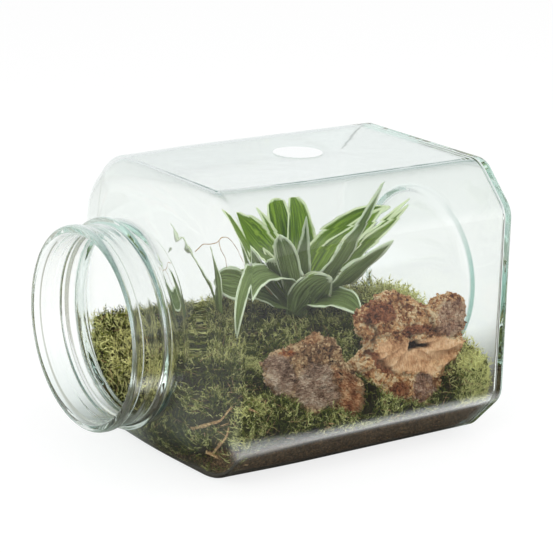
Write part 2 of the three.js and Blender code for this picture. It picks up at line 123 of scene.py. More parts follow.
def start_material(name):
    """An empty finish, its node tree, and the place of each point in millimetres."""
    material = bpy.data.materials.new(name)
    material.use_nodes = True
    tree = material.node_tree
    tree.nodes.clear()
    place = add(tree, "TexCoord").outputs["Object"]
    return material, tree, add(tree, "Mapping", {"Scale": (1000, 1000, 1000)}, {"Vector": place})


def end_material(material, surface, inside=None):
    """Close a finish with what light meets on the surface and, for glass, what it crosses inside."""
    tree = material.node_tree
    links = {"Surface": surface} if inside is None else {"Surface": surface, "Volume": inside}
    add(tree, "OutputMaterial", links=links)
    print(f"finish {material.name}: {len(tree.nodes)} nodes")


# %% [markdown]
# Pieces
#
# Every piece ends the same way: its mesh is closed and faces outwards, it takes a finish, it rides on the one
# body of the model, and any piece of the solid model that it stands for is hidden.

# %% Helpers for pieces
def finish_piece(name, mesh, materials, stands_for=(), smooth=True):
    piece = bpy.data.objects.new(name, mesh)
    bpy.context.scene.collection.objects.link(piece)
    for material in materials:
        mesh.materials.append(material)
    if smooth:
        mesh.shade_smooth()
    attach(piece, "root")
    if stands_for:
        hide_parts(*stands_for)
    triangles = sum(len(face.vertices) - 2 for face in mesh.polygons)
    print(f"{name}: {triangles} triangles")


def mesh_from(bm, name):
    mesh = bpy.data.meshes.new(name)
    bm.to_mesh(mesh)
    bm.free()
    return mesh


# %% [markdown]
# Shape of the glass
#
# The jar is one moulded shell. Its body is a square with cut-off corners, and its shoulder turns that outline
# into the circle of the neck. A lathe can't make that, so the shell is built from rings, each of them extruded
# from the last one and then given its own shape. The rings run from the middle of the base over the outside
# to the rim, and back along the inside, so that light is bent twice at each wall, as real glass bends it.

# %% Sizes of the jar
LENGTH, WIDTH = 247, 170
HALF = WIDTH / 2
CORNER_CUT, EDGE_ROUND = 26, 4.5
OUTER_ROUND, INNER_ROUND = 15, 13  # nearly one centre, so a corner hardly bends what is seen through it
SHOULDER_ROUND = 14  # added to both at the shoulder, and lost again within SHOULDER_BLEND
SHOULDER_BLEND = 70
WALL, BASE_WALL = 2.6, 4.2
MOUTH_RADIUS = 55
ROOT_RADIUS, ROOT_AT = 57, 26.5
NECK_WALL = ROOT_RADIUS - MOUTH_RADIUS
SHOULDER_SLOPE = math.radians(50)
ROOT_FILLET, SHOULDER_FILLET = 6, 14
GATHER, GATHER_END = 4.5, 80  # extra glass inside the root of the neck, and the half width at which it ends
PUNT_DEPTH = 4.6  # of the round hollow in the base
HEEL = 2.6  # inside, the step of the hollow is wider by this much, so the ring of glass round it is thick


def ease(value, low, high):
    """0 below low and 1 above high, with a soft start and a soft end."""
    share = min(max((value - low) / (high - low), 0), 1)
    return share * share * (3 - 2 * share)


def body_outline(inset, rounding):
    half = HALF - inset
    cut = CORNER_CUT - inset * (2 - math.sqrt(2))
    bend = max(rounding - inset, 2)
    reach = half - cut - bend * math.tan(math.radians(22.5))
    edge = []
    for step in range(7):
        angle = math.radians(7.5 * step)
        edge.append((half - bend + bend * math.cos(angle), reach + bend * math.sin(angle)))
    other_edge = [(z, y) for y, z in reversed(edge)]
    side = [(half, reach * share) for share in (0, 0.2, 0.4, 0.6, 0.8)]
    top = [(reach * share, half) for share in (0.8, 0.6, 0.4, 0.2)]
    (y_start, z_start), (y_end, z_end) = edge[-1], other_edge[0]
    slope = [
        (y_start + (y_end - y_start) * share, z_start + (z_end - z_start) * share)
        for share in (0.25, 0.5, 0.75)
    ]
    quarter = side + edge + slope + other_edge + top
    outline = []
    for turn in (0, 1, 2, 3):
        cosine, sine = round(math.cos(turn * math.pi / 2)), round(math.sin(turn * math.pi / 2))
        outline += [(y * cosine - z * sine, y * sine + z * cosine) for y, z in quarter]
    return outline


def jar_ring(along, radius=0.0, inset=0.0, square=0.0, relief=None, depth=0.0):
    rounding = INNER_ROUND + depth if depth else OUTER_ROUND
    rounding += SHOULDER_ROUND * (1 - ease(along, ROOT_AT + 20, ROOT_AT + 20 + SHOULDER_BLEND))
    ring = []
    for y, z in body_outline(inset, rounding):
        angle = math.atan2(z, y)
        reach = radius + (relief(angle) if relief else 0)
        ring.append((
            along - LENGTH / 2,
            reach * math.cos(angle) * (1 - square) + y * square,
            HALF + reach * math.sin(angle) * (1 - square) + z * square,
        ))
    return ring


# %% Rings of the shoulder and the base
def shoulder_path():
    path = []

    def bend(along, half, radius, first, last, steps):
        sign = 1 if last > first else -1
        for step in range(steps + 1):
            slope = first + (last - first) * step / steps
            path.append((
                along + sign * radius * (math.sin(slope) - math.sin(first)),
                half + sign * radius * (math.cos(first) - math.cos(slope)),
                slope,
            ))

    bend(ROOT_AT, ROOT_RADIUS, ROOT_FILLET, 0, SHOULDER_SLOPE, 5)
    along, half, slope = path[-1]
    rise = HALF - SHOULDER_FILLET * (1 - math.cos(SHOULDER_SLOPE)) - half
    run = rise / math.tan(SHOULDER_SLOPE)
    for share in (0.2, 0.4, 0.6, 0.8):
        path.append((along + run * share, half + rise * share, slope))
    bend(along + run, half + rise, SHOULDER_FILLET, SHOULDER_SLOPE, 0, 8)
    return path


def shoulder_rings(depth):
    path = shoulder_path()
    rings = []
    for along, half, slope in path:
        square = ease(along, path[0][0], path[-1][0])
        gather = GATHER * (1 - ease(half, ROOT_RADIUS, GATHER_END)) if depth else 0
        # The wall is thin at the neck's root and comes to its full thickness within the fillet.
        thickening = ease(along, ROOT_AT, ROOT_AT + 9)
        wall = min(depth, NECK_WALL + (depth - NECK_WALL) * thickening) if depth else 0
        across = half - wall * math.cos(slope)
        station = along + gather + wall * math.sin(slope)
        rings.append(jar_ring(station, across, HALF - across, square, depth=depth))
    # Long plain walls get rings too, which carry the softening of the corners behind the shoulder.
    start = path[-1][0] + wall * math.sin(slope)
    end = LENGTH - EDGE_ROUND - (BASE_WALL if depth else 0)
    for share in (0.04, 0.09, 0.15, 0.22, 0.3, 0.38, 0.48, 0.58, 0.68, 0.78, 0.88, 0.96):
        rings.append(jar_ring(start + (end - start) * share, inset=depth, square=1, depth=depth))
    return rings


def base_rings(depth):
    end = LENGTH - (BASE_WALL + depth - WALL if depth else 0)
    rings = []
    for step in range(9):
        angle = math.radians(90 * step / 8)
        rings.append(jar_ring(
            end - EDGE_ROUND + EDGE_ROUND * math.sin(angle),
            inset=depth + EDGE_ROUND * (1 - math.cos(angle)),
            square=1,
            depth=depth,
        ))
    # The hollow of the base: share of its depth, and the outside radius there.
    hollow = [
        (0, 53.5), (0.06, 52.7), (0.25, 51.9), (0.5, 51.1), (0.75, 50.2), (0.9, 48.8),
        (0.95, 44), (0.97, 30), (0.99, 14), (1, 4),
    ]
    for share, radius in hollow:
        heel = HEEL * ease(radius, 30, 48) if depth else 0
        rings.append(jar_ring(end - share * PUNT_DEPTH, radius + heel))
    return rings


# %% Rings of the neck
NECK_RADIUS, NECK_RING_GAP = 58.3, 0.5
THREAD_START, THREAD_PITCH, THREAD_TURNS = 8.4, 6.2, 1.5
THREAD_HEIGHT, THREAD_HALF_WIDTH = 0.4, 2.6


def thread_relief(along):
    def height_at(angle):
        turned = ((angle + math.radians(60)) / (2 * math.pi)) % 1
        height = 0
        for done in (turned, turned + 1):
            centre = THREAD_START + THREAD_PITCH * done
            off = abs(along - centre) / THREAD_HALF_WIDTH
            # The thread dies away at both ends.
            fade = ease(done, 0, 0.05) * (1 - ease(done, THREAD_TURNS - 0.05, THREAD_TURNS))
            if off < 1:
                height = max(height, THREAD_HEIGHT * fade * math.cos(off * math.pi / 2) ** 2)
        return height

    return height_at


def neck_rings():
    rim = [
        (0, 56.2), (0, 57.2), (0, 58.2), (0.15, 58.9), (0.55, 59.5), (1.2, 59.85), (2.2, 60),
        (4.2, 60), (4.8, 59.85), (5.3, 59.3), (5.8, 58.6),
    ]
    rings = [jar_ring(along, radius) for along, radius in rim]
    along = 6.2
    while along < 18.6:
        rings.append(jar_ring(along, NECK_RADIUS, relief=thread_relief(along)))
        along += NECK_RING_GAP
    collar = [
        (19, 58.6), (19.5, 59.6), (19.9, 60.8), (20.5, 61.6), (21.4, 62), (22.3, 61.6),
        (22.9, 60.8), (23.5, 59.4), (24.2, 58.2), (25.2, 57.3),
    ]
    return rings + [jar_ring(along, radius) for along, radius in collar]


# %% Extrude ring after ring into a shell
def edges_among(verts):
    """Every edge that joins two of these points, each one once."""
    chosen = set(verts)
    found = (edge for vert in verts for edge in vert.link_edges if edge.other_vert(vert) in chosen)
    return list(dict.fromkeys(found))


def skin(rings, name):
    bm = bmesh.new()
    loop = bmesh.ops.create_circle(bm, segments=len(rings[0]), radius=1)["verts"]
    for vert, spot in zip(loop, rings[0]):
        vert.co = Vector(spot) * MM
    first_edges = list(bm.edges)
    for ring in rings[1:]:
        number = {vert: at for at, vert in enumerate(loop)}
        made = bmesh.ops.extrude_edge_only(bm, edges=edges_among(loop))["geom"]
        following = [None] * len(loop)
        for vert in made:
            if isinstance(vert, bmesh.types.BMVert):
                ends = (edge.other_vert(vert) for edge in vert.link_edges)
                old = next(end for end in ends if end in number)
                following[number[old]] = vert
        for vert, spot in zip(following, ring):
            vert.co = Vector(spot) * MM
        loop = following
    last_edges = [edge for edge in bm.edges if edge.is_boundary and edge not in set(first_edges)]
    for border in (first_edges, last_edges):
        bmesh.ops.contextual_create(bm, geom=border)
    bmesh.ops.recalc_face_normals(bm, faces=bm.faces)
    print(f"{name}: {bm.calc_volume(signed=True) * 1e6:.0f} cm3 of material")
    return mesh_from(bm, name)


outer = neck_rings() + shoulder_rings(0) + base_rings(0)
bore = [jar_ring(along, MOUTH_RADIUS + extra) for along, extra in ((0.15, 0.7), (0.5, 0.3), (1.2, 0))]
bore += [jar_ring(along, MOUTH_RADIUS) for along in (5, 10, 15, 20, 24)]
inner = bore + shoulder_rings(WALL) + base_rings(WALL)
jar_mesh = skin(list(reversed(outer)) + inner, "glass_jar")

# %% [markdown]
# Clear glass
#
# Soda-lime glass, pressed in a mould: smooth, clear, and faintly green where a lot of it is seen edge on.
# Light that goes straight through is hardly tinted, and the sides that turn away look darker and cooler,
# which draws the thin lines round the rim, the collar and the base. Shadows and soft light pass straight
# through, because bending every such ray would only add noise to what stands in the jar.

# %% Finish: clear glass
OUTER_BASE = 119.2  # beyond this place along the jar lies the outer face of the base, not the inner one

clear_glass, tree, place_mm = start_material("clear_soda_lime_glass")
facing = add(tree, "LayerWeight", {"Blend": 0.35})
tint = add(tree, "ValToRGB", {"stops": [(0, "#fafbfa"), (0.6, "#f3f8f6"), (1, "#cfe8e1")]},
           {"Fac": facing.outputs["Facing"]})
# The step round the hollow of the base is thick, and the green of the glass shows there as a crescent. It is
# found by its distance from the jar's axis, in units of 100 mm, and it shows on the front side alone.
from_axis = add(tree, "Mapping", {"Scale": (0, 0.01, 0.01), "Location": (0, 0, -HALF / 100)},
                {"Vector": place_mm})
from_axis = add(tree, "VectorMath", {"operation": "LENGTH"}, {0: from_axis})
on_step = add(tree, "ValToRGB", {"stops": [
    (0.498, "#000000"), (0.507, "#ffffff"), (0.527, "#ffffff"), (0.536, "#000000"),
]}, {"Fac": from_axis})
spot = add(tree, "SeparateXYZ", links={0: place_mm})
painted_base_light = add(tree, "Math", {"operation": "GREATER_THAN", 1: OUTER_BASE}, {0: spot.outputs["X"]})
in_front = add(tree, "MapRange", {"From Min": -18.0, "From Max": -50.0}, {"Value": spot.outputs["Y"]})
for mask in (painted_base_light, in_front):
    on_step = add(tree, "Math", {"operation": "MULTIPLY"}, {0: on_step, 1: mask})
tint = add(tree, "Mix", {"data_type": "RGBA", 7: linear("#65988a")}, {0: on_step, 6: tint})
# A pressed wall is never quite flat: its waves are some 30 mm long and hardly deep enough to see.
waviness = add(tree, "TexNoise", {"Scale": 0.03, "Detail": 2.0}, {"Vector": place_mm})
ripple = add(tree, "Bump", {"Strength": 0.12, "Distance": 0.001}, {"Height": waviness})
glass = add(tree, "BsdfPrincipled", {"Roughness": 0.02, "IOR": 1.5, "Transmission Weight": 1.0},
            {"Base Color": tint, "Normal": ripple})
straight = add(tree, "BsdfTransparent", {"Color": linear("#f4faf8")})
path = add(tree, "LightPath")
# A ray that the wall turns again and again would end black. After seven turns it is let through.
caught = add(tree, "Math", {"operation": "GREATER_THAN", 1: 7.0}, {0: path.outputs["Ray Depth"]})
let_through = add(tree, "Math", {"operation": "MAXIMUM"},
                  {0: path.outputs["Is Shadow Ray"], 1: path.outputs["Is Diffuse Ray"]})
let_through = add(tree, "Math", {"operation": "MAXIMUM"}, {0: let_through, 1: caught})
mixed = add(tree, "MixShader", links={0: let_through, 1: glass, 2: straight})
depth_tint = add(tree, "VolumeAbsorption", {"Color": linear("#86c9b3"), "Density": 4.5})
end_material(clear_glass, mixed, depth_tint)

finish_piece("clear_jar", jar_mesh, [clear_glass], ["glass_jar"])

# %% [markdown]
# Room inside the glass
#
# Moss, crumbs and leaves must not poke through the wall. A table of the wall's inner face, by place along the
# jar and by angle round its axis, lets any cloud of points be pulled back inside with one call.

# %% Keep points inside the jar
CLEARANCE = 0.25
PRESS = 1.7  # the solid's wall is thicker than the one drawn, so soil and moss are brought up to the glass
ANGLES = np.radians(np.arange(-180, 180.5, 1))


def room_table():
    wall = WALL + CLEARANCE
    rings = [jar_ring(along, MOUTH_RADIUS - CLEARANCE) for along in (-20, ROOT_AT - 1)]
    rings += shoulder_rings(wall) + base_rings(wall)[:9]
    places, reaches = [], []
    for ring in rings:
        y = np.array([point[1] for point in ring])
        z = np.array([point[2] for point in ring]) - HALF
        places.append(ring[0][0])
        reaches.append(np.interp(ANGLES, np.arctan2(z, y), np.hypot(y, z), period=2 * math.pi))
    return np.array(places), np.array(reaches)


ROOM_X, ROOM_REACH = room_table()


def keep_inside(points, press=0.0):
    """Pull points inside the glass, after those near the wall are moved towards it by up to press mm."""
    y, z = points[:, 1], points[:, 2] - HALF
    distance = np.hypot(y, z)
    # The hollow of the base stands into the room, by this much at each distance from the axis.
    hollow = np.interp(distance, [0, 30, 48 + HEEL, 51 + HEEL, 53.5 + HEEL], [PUNT_DEPTH, 4.5, 4.3, 2.6, 0])
    x = np.minimum(points[:, 0], ROOM_X[-1] - 0.05 - hollow)
    at = np.clip(np.searchsorted(ROOM_X, x) - 1, 0, len(ROOM_X) - 2)
    share = np.clip((x - ROOM_X[at]) / (ROOM_X[at + 1] - ROOM_X[at]), 0, 1)
    column = np.clip(np.round(np.degrees(np.arctan2(z, y))).astype(int) + 180, 0, len(ANGLES) - 1)
    reach = ROOM_REACH[at, column] * (1 - share) + ROOM_REACH[at + 1, column] * share
    near = np.clip(1 - (reach - distance - press) / 5, 0, 1)
    wanted = np.minimum(reach, distance + press * near)
    stretch = wanted / np.maximum(distance, 1e-6)
    return np.stack([x, y * stretch, HALF + z * stretch], axis=1)


print("room checked at", ROOM_REACH.size, "places")

# %% [markdown]
# Finer copies of the solids
#
# Soil, moss and bark already have the right outline in the solid model. A copy is merged, given an even net
# of small faces by a voxel remesh, and then pushed in and out by layered noise, which turns flat facets into
# crumbs and cushions. The noise is fixed to the place of each point, so that every run gives the same lumps.

# %% Copy a solid and roughen it
def even_copy(node, voxel_mm):
    bm = bmesh.new()
    bm.from_mesh(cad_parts[node].data)
    bmesh.ops.remove_doubles(bm, verts=bm.verts, dist=1e-5)
    source = bpy.data.objects.new(node + "_copy", mesh_from(bm, node + "_copy"))
    bpy.context.scene.collection.objects.link(source)
    remesh = source.modifiers.new("even", "REMESH")
    remesh.mode = "VOXEL"
    remesh.voxel_size = voxel_mm * MM
    mesh = bpy.data.meshes.new_from_object(source.evaluated_get(bpy.context.evaluated_depsgraph_get()))
    bpy.data.objects.remove(source)
    return mesh


def vectors_of(mesh, key):
    flat = np.empty(len(mesh.vertices) * 3, np.float32)
    mesh.vertices.foreach_get(key, flat)
    return flat.reshape(-1, 3)


def points_of(mesh):
    return vectors_of(mesh, "co") / MM


def move_points(mesh, points):
    mesh.vertices.foreach_set("co", (points * MM).astype(np.float32).ravel())
    mesh.update()


def keep_on(mesh, key, values):
    """Store a number for each point of a mesh, which its finish can read."""
    mesh.attributes.new(key, "FLOAT", "POINT").data.foreach_set("value", values.astype(np.float32))


def lumps(points, size_mm, octaves, seed):
    shift = Vector((seed * 17.3, seed * 5.1, seed * 9.7))
    return np.array([
        noise.fractal(Vector(point) / size_mm + shift, 1.0, 2.0, octaves) for point in points.tolist()
    ])


# %% [markdown]
# Potting soil
#
# A dark peat mix, damp enough to look nearly black, seen as a narrow band behind the lower sloping face of
# the jar. It is matt, and its crumbs of one to three millimetres catch a little light.

# %% Finish: potting soil
potting_soil, tree, place_mm = start_material("damp_peat_soil")
# Grains of peat and sand of about 1.5 mm.
grit = add(tree, "TexNoise", {"Scale": 0.7, "Detail": 6.0, "Roughness": 0.7}, {"Vector": place_mm})
earth = add(tree, "ValToRGB", {"stops": [
    (0.35, "#1c130c"), (0.48, "#4a3626"), (0.58, "#7c5d42"), (0.7, "#b08a63"),
]}, {"Fac": grit})
crumble = add(tree, "Bump", {"Strength": 0.8, "Distance": 0.001}, {"Height": grit})
shader = add(tree, "BsdfPrincipled", {"Roughness": 0.95, "IOR": 1.45},
             {"Base Color": earth, "Normal": crumble})
end_material(potting_soil, shader)

# %% Piece: soil bed
soil_mesh = even_copy("soil_bed", 2.5)
soil = points_of(soil_mesh)
soil -= vectors_of(soil_mesh, "normal") * (0.2 + 0.9 * np.abs(lumps(soil, 5, 3, 1)))[:, None]
move_points(soil_mesh, keep_inside(soil, PRESS))
finish_piece("potting_soil_bed", soil_mesh, [potting_soil], ["soil_bed"])

# %% [markdown]
# Copies of a small shape
#
# Crumbs and moss are one small closed shape, repeated thousands of times. One template is made with modelling
# operators, and its copies are turned, sized and placed in one step and stored in one mesh. Real copies are
# used and not instances, because only real meshes travel with the model. A tone is kept on each copy, and the
# height of each point in its template, so that a finish can vary from copy to copy and from root to tip.

# %% Place many copies in one mesh
def template_from(bm):
    bmesh.ops.triangulate(bm, faces=bm.faces)
    bm.verts.index_update()
    points = np.array([vert.co for vert in bm.verts])
    faces = np.array([[vert.index for vert in face.verts] for face in bm.faces])
    bm.free()
    return points, faces


def copies(name, template, spots, directions, rng, sizes, bend=0.0, tone_of=None):
    """One mesh of many copies, each with a size, a turn and a tone that are drawn in that order."""
    points, faces = template
    count = len(spots)
    lengths = rng.uniform(*sizes, count)
    turns = rng.uniform(0, 6.28, count)
    tones = rng.random(count)
    if tone_of:
        tones = tone_of(tones)
    ahead = directions / np.linalg.norm(directions, axis=1, keepdims=True)
    helper = np.where(np.abs(ahead[:, 2:3]) > 0.9, [[1.0, 0, 0]], [[0, 0, 1.0]])
    side = np.cross(helper, ahead)
    side /= np.linalg.norm(side, axis=1, keepdims=True)
    other = np.cross(ahead, side)
    cosine, sine = np.cos(turns)[:, None], np.sin(turns)[:, None]
    side, other = side * cosine + other * sine, other * cosine - side * sine
    lift = points[None, :, 2]
    swing = points[None, :, 0] + bend * lift ** 2
    placed = (
        spots[:, None, :]
        + lengths[:, None, None] * (
            swing[..., None] * side[:, None, :]
            + points[None, :, 1, None] * other[:, None, :]
            + lift[..., None] * ahead[:, None, :]
        )
    ).reshape(-1, 3)
    all_faces = (faces[None] + (np.arange(count) * len(points))[:, None, None]).reshape(-1, 3)
    mesh = bpy.data.meshes.new(name)
    mesh.vertices.add(len(placed))
    mesh.loops.add(all_faces.size)
    mesh.loops.foreach_set("vertex_index", all_faces.astype(np.int32).ravel())
    mesh.polygons.add(len(all_faces))
    mesh.polygons.foreach_set("loop_start", np.arange(0, all_faces.size, 3, dtype=np.int32))
    mesh.vertices.foreach_set("co", (keep_inside(placed) * MM).astype(np.float32).ravel())
    mesh.update(calc_edges=True)
    keep_on(mesh, "tone", np.repeat(tones, len(points)))
    keep_on(mesh, "height", np.tile(points[:, 2], count))
    return mesh


def scatter_on(mesh, count, seed, wanted):
    """Random spots on the faces of a mesh for which wanted(centre, normal) gives a weight above 0."""
    rng = np.random.default_rng(seed)
    mesh.calc_loop_triangles()
    corners = np.empty(len(mesh.loop_triangles) * 3, np.int32)
    mesh.loop_triangles.foreach_get("vertices", corners)
    points = points_of(mesh)[corners.reshape(-1, 3)]
    normal = np.cross(points[:, 1] - points[:, 0], points[:, 2] - points[:, 0])
    area = np.linalg.norm(normal, axis=1)
    normal /= np.maximum(area, 1e-9)[:, None]
    weight = area * wanted(points.mean(axis=1), normal)
    picked = rng.choice(len(points), count, p=weight / weight.sum())
    along, across = rng.random((2, count, 1))
    flip = along + across > 1
    along, across = np.where(flip, 1 - along, along), np.where(flip, 1 - across, across)
    corner = points[picked]
    spots = corner[:, 0] + along * (corner[:, 1] - corner[:, 0]) + across * (corner[:, 2] - corner[:, 0])
    return spots, normal[picked], rng


# %% Piece: soil crumbs
def round_bit(stretch):
    bm = bmesh.new()
    bmesh.ops.create_icosphere(bm, subdivisions=1, radius=0.5)
    bmesh.ops.scale(bm, vec=stretch, verts=bm.verts)
    return template_from(bm)


crumb = round_bit((1, 0.8, 0.65))
spots, normals, rng = scatter_on(
    soil_mesh, 1200, 3, lambda at, facing: (np.abs(facing[:, 2]) < 0.95) * (at[:, 1] < 75) + 0.02)
crumb_mesh = copies("soil_crumbs", crumb, spots + normals * 0.3, normals, rng, (0.8, 2.8))
finish_piece("soil_crumbs", crumb_mesh, [potting_soil], smooth=False)

# %% [markdown]
# Sheet moss
#
# Live feather moss: springy stems, set all round with tiny pointed leaves, olive to fresh green, with brown
# old growth below, whose dark colour is also painted shade in the gaps between sprigs. A carpet made of a
# bumpy copy of the solid carries thousands of sprigs. On top they stand up and lean about, and behind the
# glass they are pressed flat along the wall.

# %% Finish: moss
def moss_finish(name, stops):
    material, tree, place_mm = start_material(name)
    tone, height = [
        add(tree, "Attribute", {"attribute_name": key}).outputs["Fac"] for key in ("tone", "height")]
    # Patches of older and younger growth of about 20 mm, and flecks of the size of one leaf.
    shade = add(tree, "TexNoise", {"Scale": 0.045, "Detail": 3.0}, {"Vector": place_mm})
    fleck = add(tree, "TexNoise", {"Scale": 0.6, "Detail": 2.0}, {"Vector": place_mm})
    for weight, source in ((0.35, tone), (0.16, height), (0.25, fleck)):
        shade = add(tree, "Math", {"operation": "MULTIPLY_ADD", 1: weight}, {0: source, 2: shade})
    colour = add(tree, "ValToRGB", {"stops": stops}, {"Fac": shade})
    shader = add(tree, "BsdfPrincipled", {"Roughness": 0.8, "IOR": 1.4}, {"Base Color": colour})
    end_material(material, shader)
    return material


live_moss = moss_finish("live_feather_moss", [
    (0.5, "#140d04"), (0.6, "#30210b"), (0.68, "#2f3a10"),
    (0.8, "#4f5a1c"), (0.91, "#878639"), (1.0, "#e3dc95"),
])
# The mat beneath the sprigs is brown old growth, and its dark colour is also painted shade for the gaps
# between sprigs.
old_moss_and_gap_shade = moss_finish("moss_mat_old_growth_and_gap_shade", [
    (0.45, "#110c05"), (0.62, "#251e0c"), (0.78, "#363615"), (0.95, "#4d5322"),
])

# %% Piece: moss mat
moss_mesh = even_copy("moss", 2.6)
mat = points_of(moss_mesh)
mat_normals = vectors_of(moss_mesh, "normal")
upward = np.clip(mat_normals[:, 2], 0, 1)
cushions = upward * 1.6 * lumps(mat, 9, 3, 2)
shrinking = (1 - upward) * (0.9 + 0.9 * np.abs(lumps(mat, 6, 2, 4)))
mat += mat_normals * (cushions - shrinking)[:, None]
# At the base end loose sprigs stand, and not a dense cushion, so the mat is lower there.
mat[:, 2] -= 7 * upward * np.clip((mat[:, 0] - 92) / 14, 0, 1)
move_points(moss_mesh, keep_inside(mat, PRESS))
# The mat is made lighter towards the base end: painted light from behind the base.
keep_on(moss_mesh, "tone", 0.9 * np.clip((mat[:, 0] - 86) / 16, 0, 1))
finish_piece("moss_mat", moss_mesh, [old_moss_and_gap_shade], ["moss"])


# %% Shapes: a strand and a sprig of moss
def add_leaflet(bm, height, turn, length, radius):
    """A thin closed wedge, which starts at a height on the stem and points along the turned axis."""
    spot = Matrix.Translation((0, 0, height)) @ turn @ Matrix.Translation((0, 0, length / 2))
    bmesh.ops.create_cone(bm, segments=3, radius1=radius, radius2=0, depth=length, cap_ends=True,
                          matrix=spot @ Matrix.Diagonal((0.5, 1.3, 1, 1)))


def strand_template(leaves, spread, seed):
    """A branch one unit long. Its leaves overlap like tiles, and hide their stem."""
    dice = random.Random(seed)
    bm = bmesh.new()
    for number in range(leaves):
        length = dice.uniform(0.24, 0.36)
        tilt = math.radians(spread + dice.uniform(-14, 14))
        turn = Matrix.Rotation(number * 2.2, 4, "Z") @ Matrix.Rotation(tilt, 4, "Y")
        add_leaflet(bm, 0.85 * number / leaves, turn, length, 0.042)
    return template_from(bm)


def sprig_template(leaves, spread, seed):
    """A stem one unit high, with pointed leaves all round it."""
    dice = random.Random(seed)
    bm = bmesh.new()
    bmesh.ops.create_cone(bm, segments=3, radius1=0.035, radius2=0, depth=1, cap_ends=True,
                          matrix=Matrix.Translation((0, 0, 0.5)))
    for number in range(leaves):
        share = (number + 1) / (leaves + 0.6)
        length = (0.42 - 0.16 * share) * dice.uniform(0.75, 1.3)
        tilt = math.radians(spread - 25 * share + dice.uniform(-8, 8))
        turn = Matrix.Rotation(number * 2.4, 4, "Z") @ Matrix.Rotation(tilt, 4, "Y")
        add_leaflet(bm, share * 0.95, turn, length, 0.05)
    return template_from(bm)


upright_sprig = sprig_template(leaves=6, spread=66, seed=1)
flat_strand = strand_template(leaves=6, spread=34, seed=2)
print("a sprig has", len(upright_sprig[1]), "faces")


# %% Piece: sprigs on top of the moss
def on_top(part):
    def weight(centre, normal):
        airy = 1 - 0.6 * np.clip((centre[:, 0] - 86) / 10, 0, 1)  # fewer at the base end, among the long ones
        return (normal[:, 2] > 0.45) * part(centre) * airy
    return weight


def light_tones(draws, spots, base_light_share=1.0):
    """A tone for each sprig, lighter at the mouth, and lighter at the base end as painted light from behind
    the base.
    """
    at_mouth = np.clip((-spots[:, 0] - 62) / 22, 0, 1) * np.clip((spots[:, 1] + 35) / 20, 0, 1)
    at_mouth *= np.clip((spots[:, 2] - 20) / 22, 0.15, 1)  # the lightening at the mouth is weaker low down
    # Painted light: sprigs at the base end are made lighter, as if lit from behind the base.
    painted_base_light = base_light_share * np.clip((spots[:, 0] - 84) / 18, 0, 1)
    return draws ** 1.4 * (1 + 1.3 * at_mouth + 0.6 * painted_base_light) + 0.3 * at_mouth + 0.9 * painted_base_light


def standing_moss(name, count, seed, part, sizes):
    spots, normals, rng = scatter_on(moss_mesh, count, seed, on_top(part))
    lean = rng.normal(0, 0.75, (count, 3))
    mesh = copies(name, upright_sprig, spots - normals * 0.8, normals + lean + [0, -0.15, 0.2], rng, sizes,
                  bend=0.3, tone_of=lambda draws: light_tones(draws, spots))
    finish_piece(name, mesh, [live_moss], smooth=False)


standing_moss("moss_sprigs_front", 5600, 11, lambda at: at[:, 1] < -10, (2, 6))
standing_moss("moss_sprigs_back", 4200, 12, lambda at: at[:, 1] >= -10, (3, 7))
standing_moss("tall_moss_sprigs", 260, 15,
              lambda at: (at[:, 0] > 45) * (at[:, 1] > -35) * (at[:, 1] < 40), (8, 14))
standing_moss("moss_sprigs_at_both_ends", 860, 16,
              lambda at: (at[:, 0] > 94) + (at[:, 0] < -74) * (at[:, 1] > -20), (5, 12))

# %% Places of the straws
STRAWS = {
    "straw_upper": [(-79.7, -51.3, 35.3), (-77.1, -61.6, 39.7), (-73.5, -69.4, 43.1), (-70.3, -75.2, 52)],
    "straw_middle": [(-71, -60.4, 20.9), (-71.3, -71.5, 32.9), (-70.5, -73.8, 39.5)],
    "straw_long": [(-73.5, -56, 21), (-66, -64.5, 17), (-53.5, -66.5, 14)],
}


def distance_to(route, points):
    """How far each point is from a route of straight stretches."""
    nearest = np.full(len(points), 1e3)
    for start, end in zip(np.array(route[:-1]), np.array(route[1:])):
        run = end - start
        share = np.clip((points - start) @ run / (run @ run), 0, 1)[:, None]
        nearest = np.minimum(nearest, np.linalg.norm(points - start - share * run, axis=1))
    return nearest


def off_the_straws(places):
    """A weight that leaves hardly any moss between a straw and the glass."""
    nearest = np.minimum.reduce([distance_to(route, places) for route in STRAWS.values()])
    return np.clip((nearest - 3.5) / 2, 0.02, 1)


# %% Piece: sprigs pressed on the glass
def pressed_moss(name, count, seed, wanted, source=moss_mesh):
    spots, normals, rng = scatter_on(
        source, count, seed, lambda at, facing: wanted(at, facing) * off_the_straws(at))
    along_wall = rng.normal(0, 1, (count, 3)) + [0, 0, 0.35]
    along_wall -= normals * np.sum(along_wall * normals, axis=1, keepdims=True)
    mesh = copies(name, flat_strand, spots + normals * rng.uniform(0.1, 1.3, (count, 1)),
                  along_wall + normals * 0.1, rng, (2.6, 6.2),
                  bend=0.5, tone_of=lambda draws: light_tones(draws, spots, base_light_share=0.65))
    finish_piece(name, mesh, [live_moss], smooth=False)


def on_other_glass(at, facing):
    sideways = (facing[:, 2] < 0.5) * (facing[:, 1] > -0.35) * (at[:, 2] > 10) * (facing[:, 2] > -0.8)
    return sideways * (1 + 2 * (at[:, 0] < -60) + 0.8 * (at[:, 0] > 110))


pressed_moss("moss_sprigs_on_front_glass", 6800, 13,
             lambda at, facing: (facing[:, 1] < -0.35) * (at[:, 2] > 8))
pressed_moss("moss_sprigs_on_other_glass", 5000, 14, on_other_glass)
pressed_moss("moss_sprigs_over_the_soil", 1100, 17,
             lambda at, facing: (at[:, 0] < -56) * (facing[:, 1] < 0.3) * (facing[:, 2] > -0.9), soil_mesh)

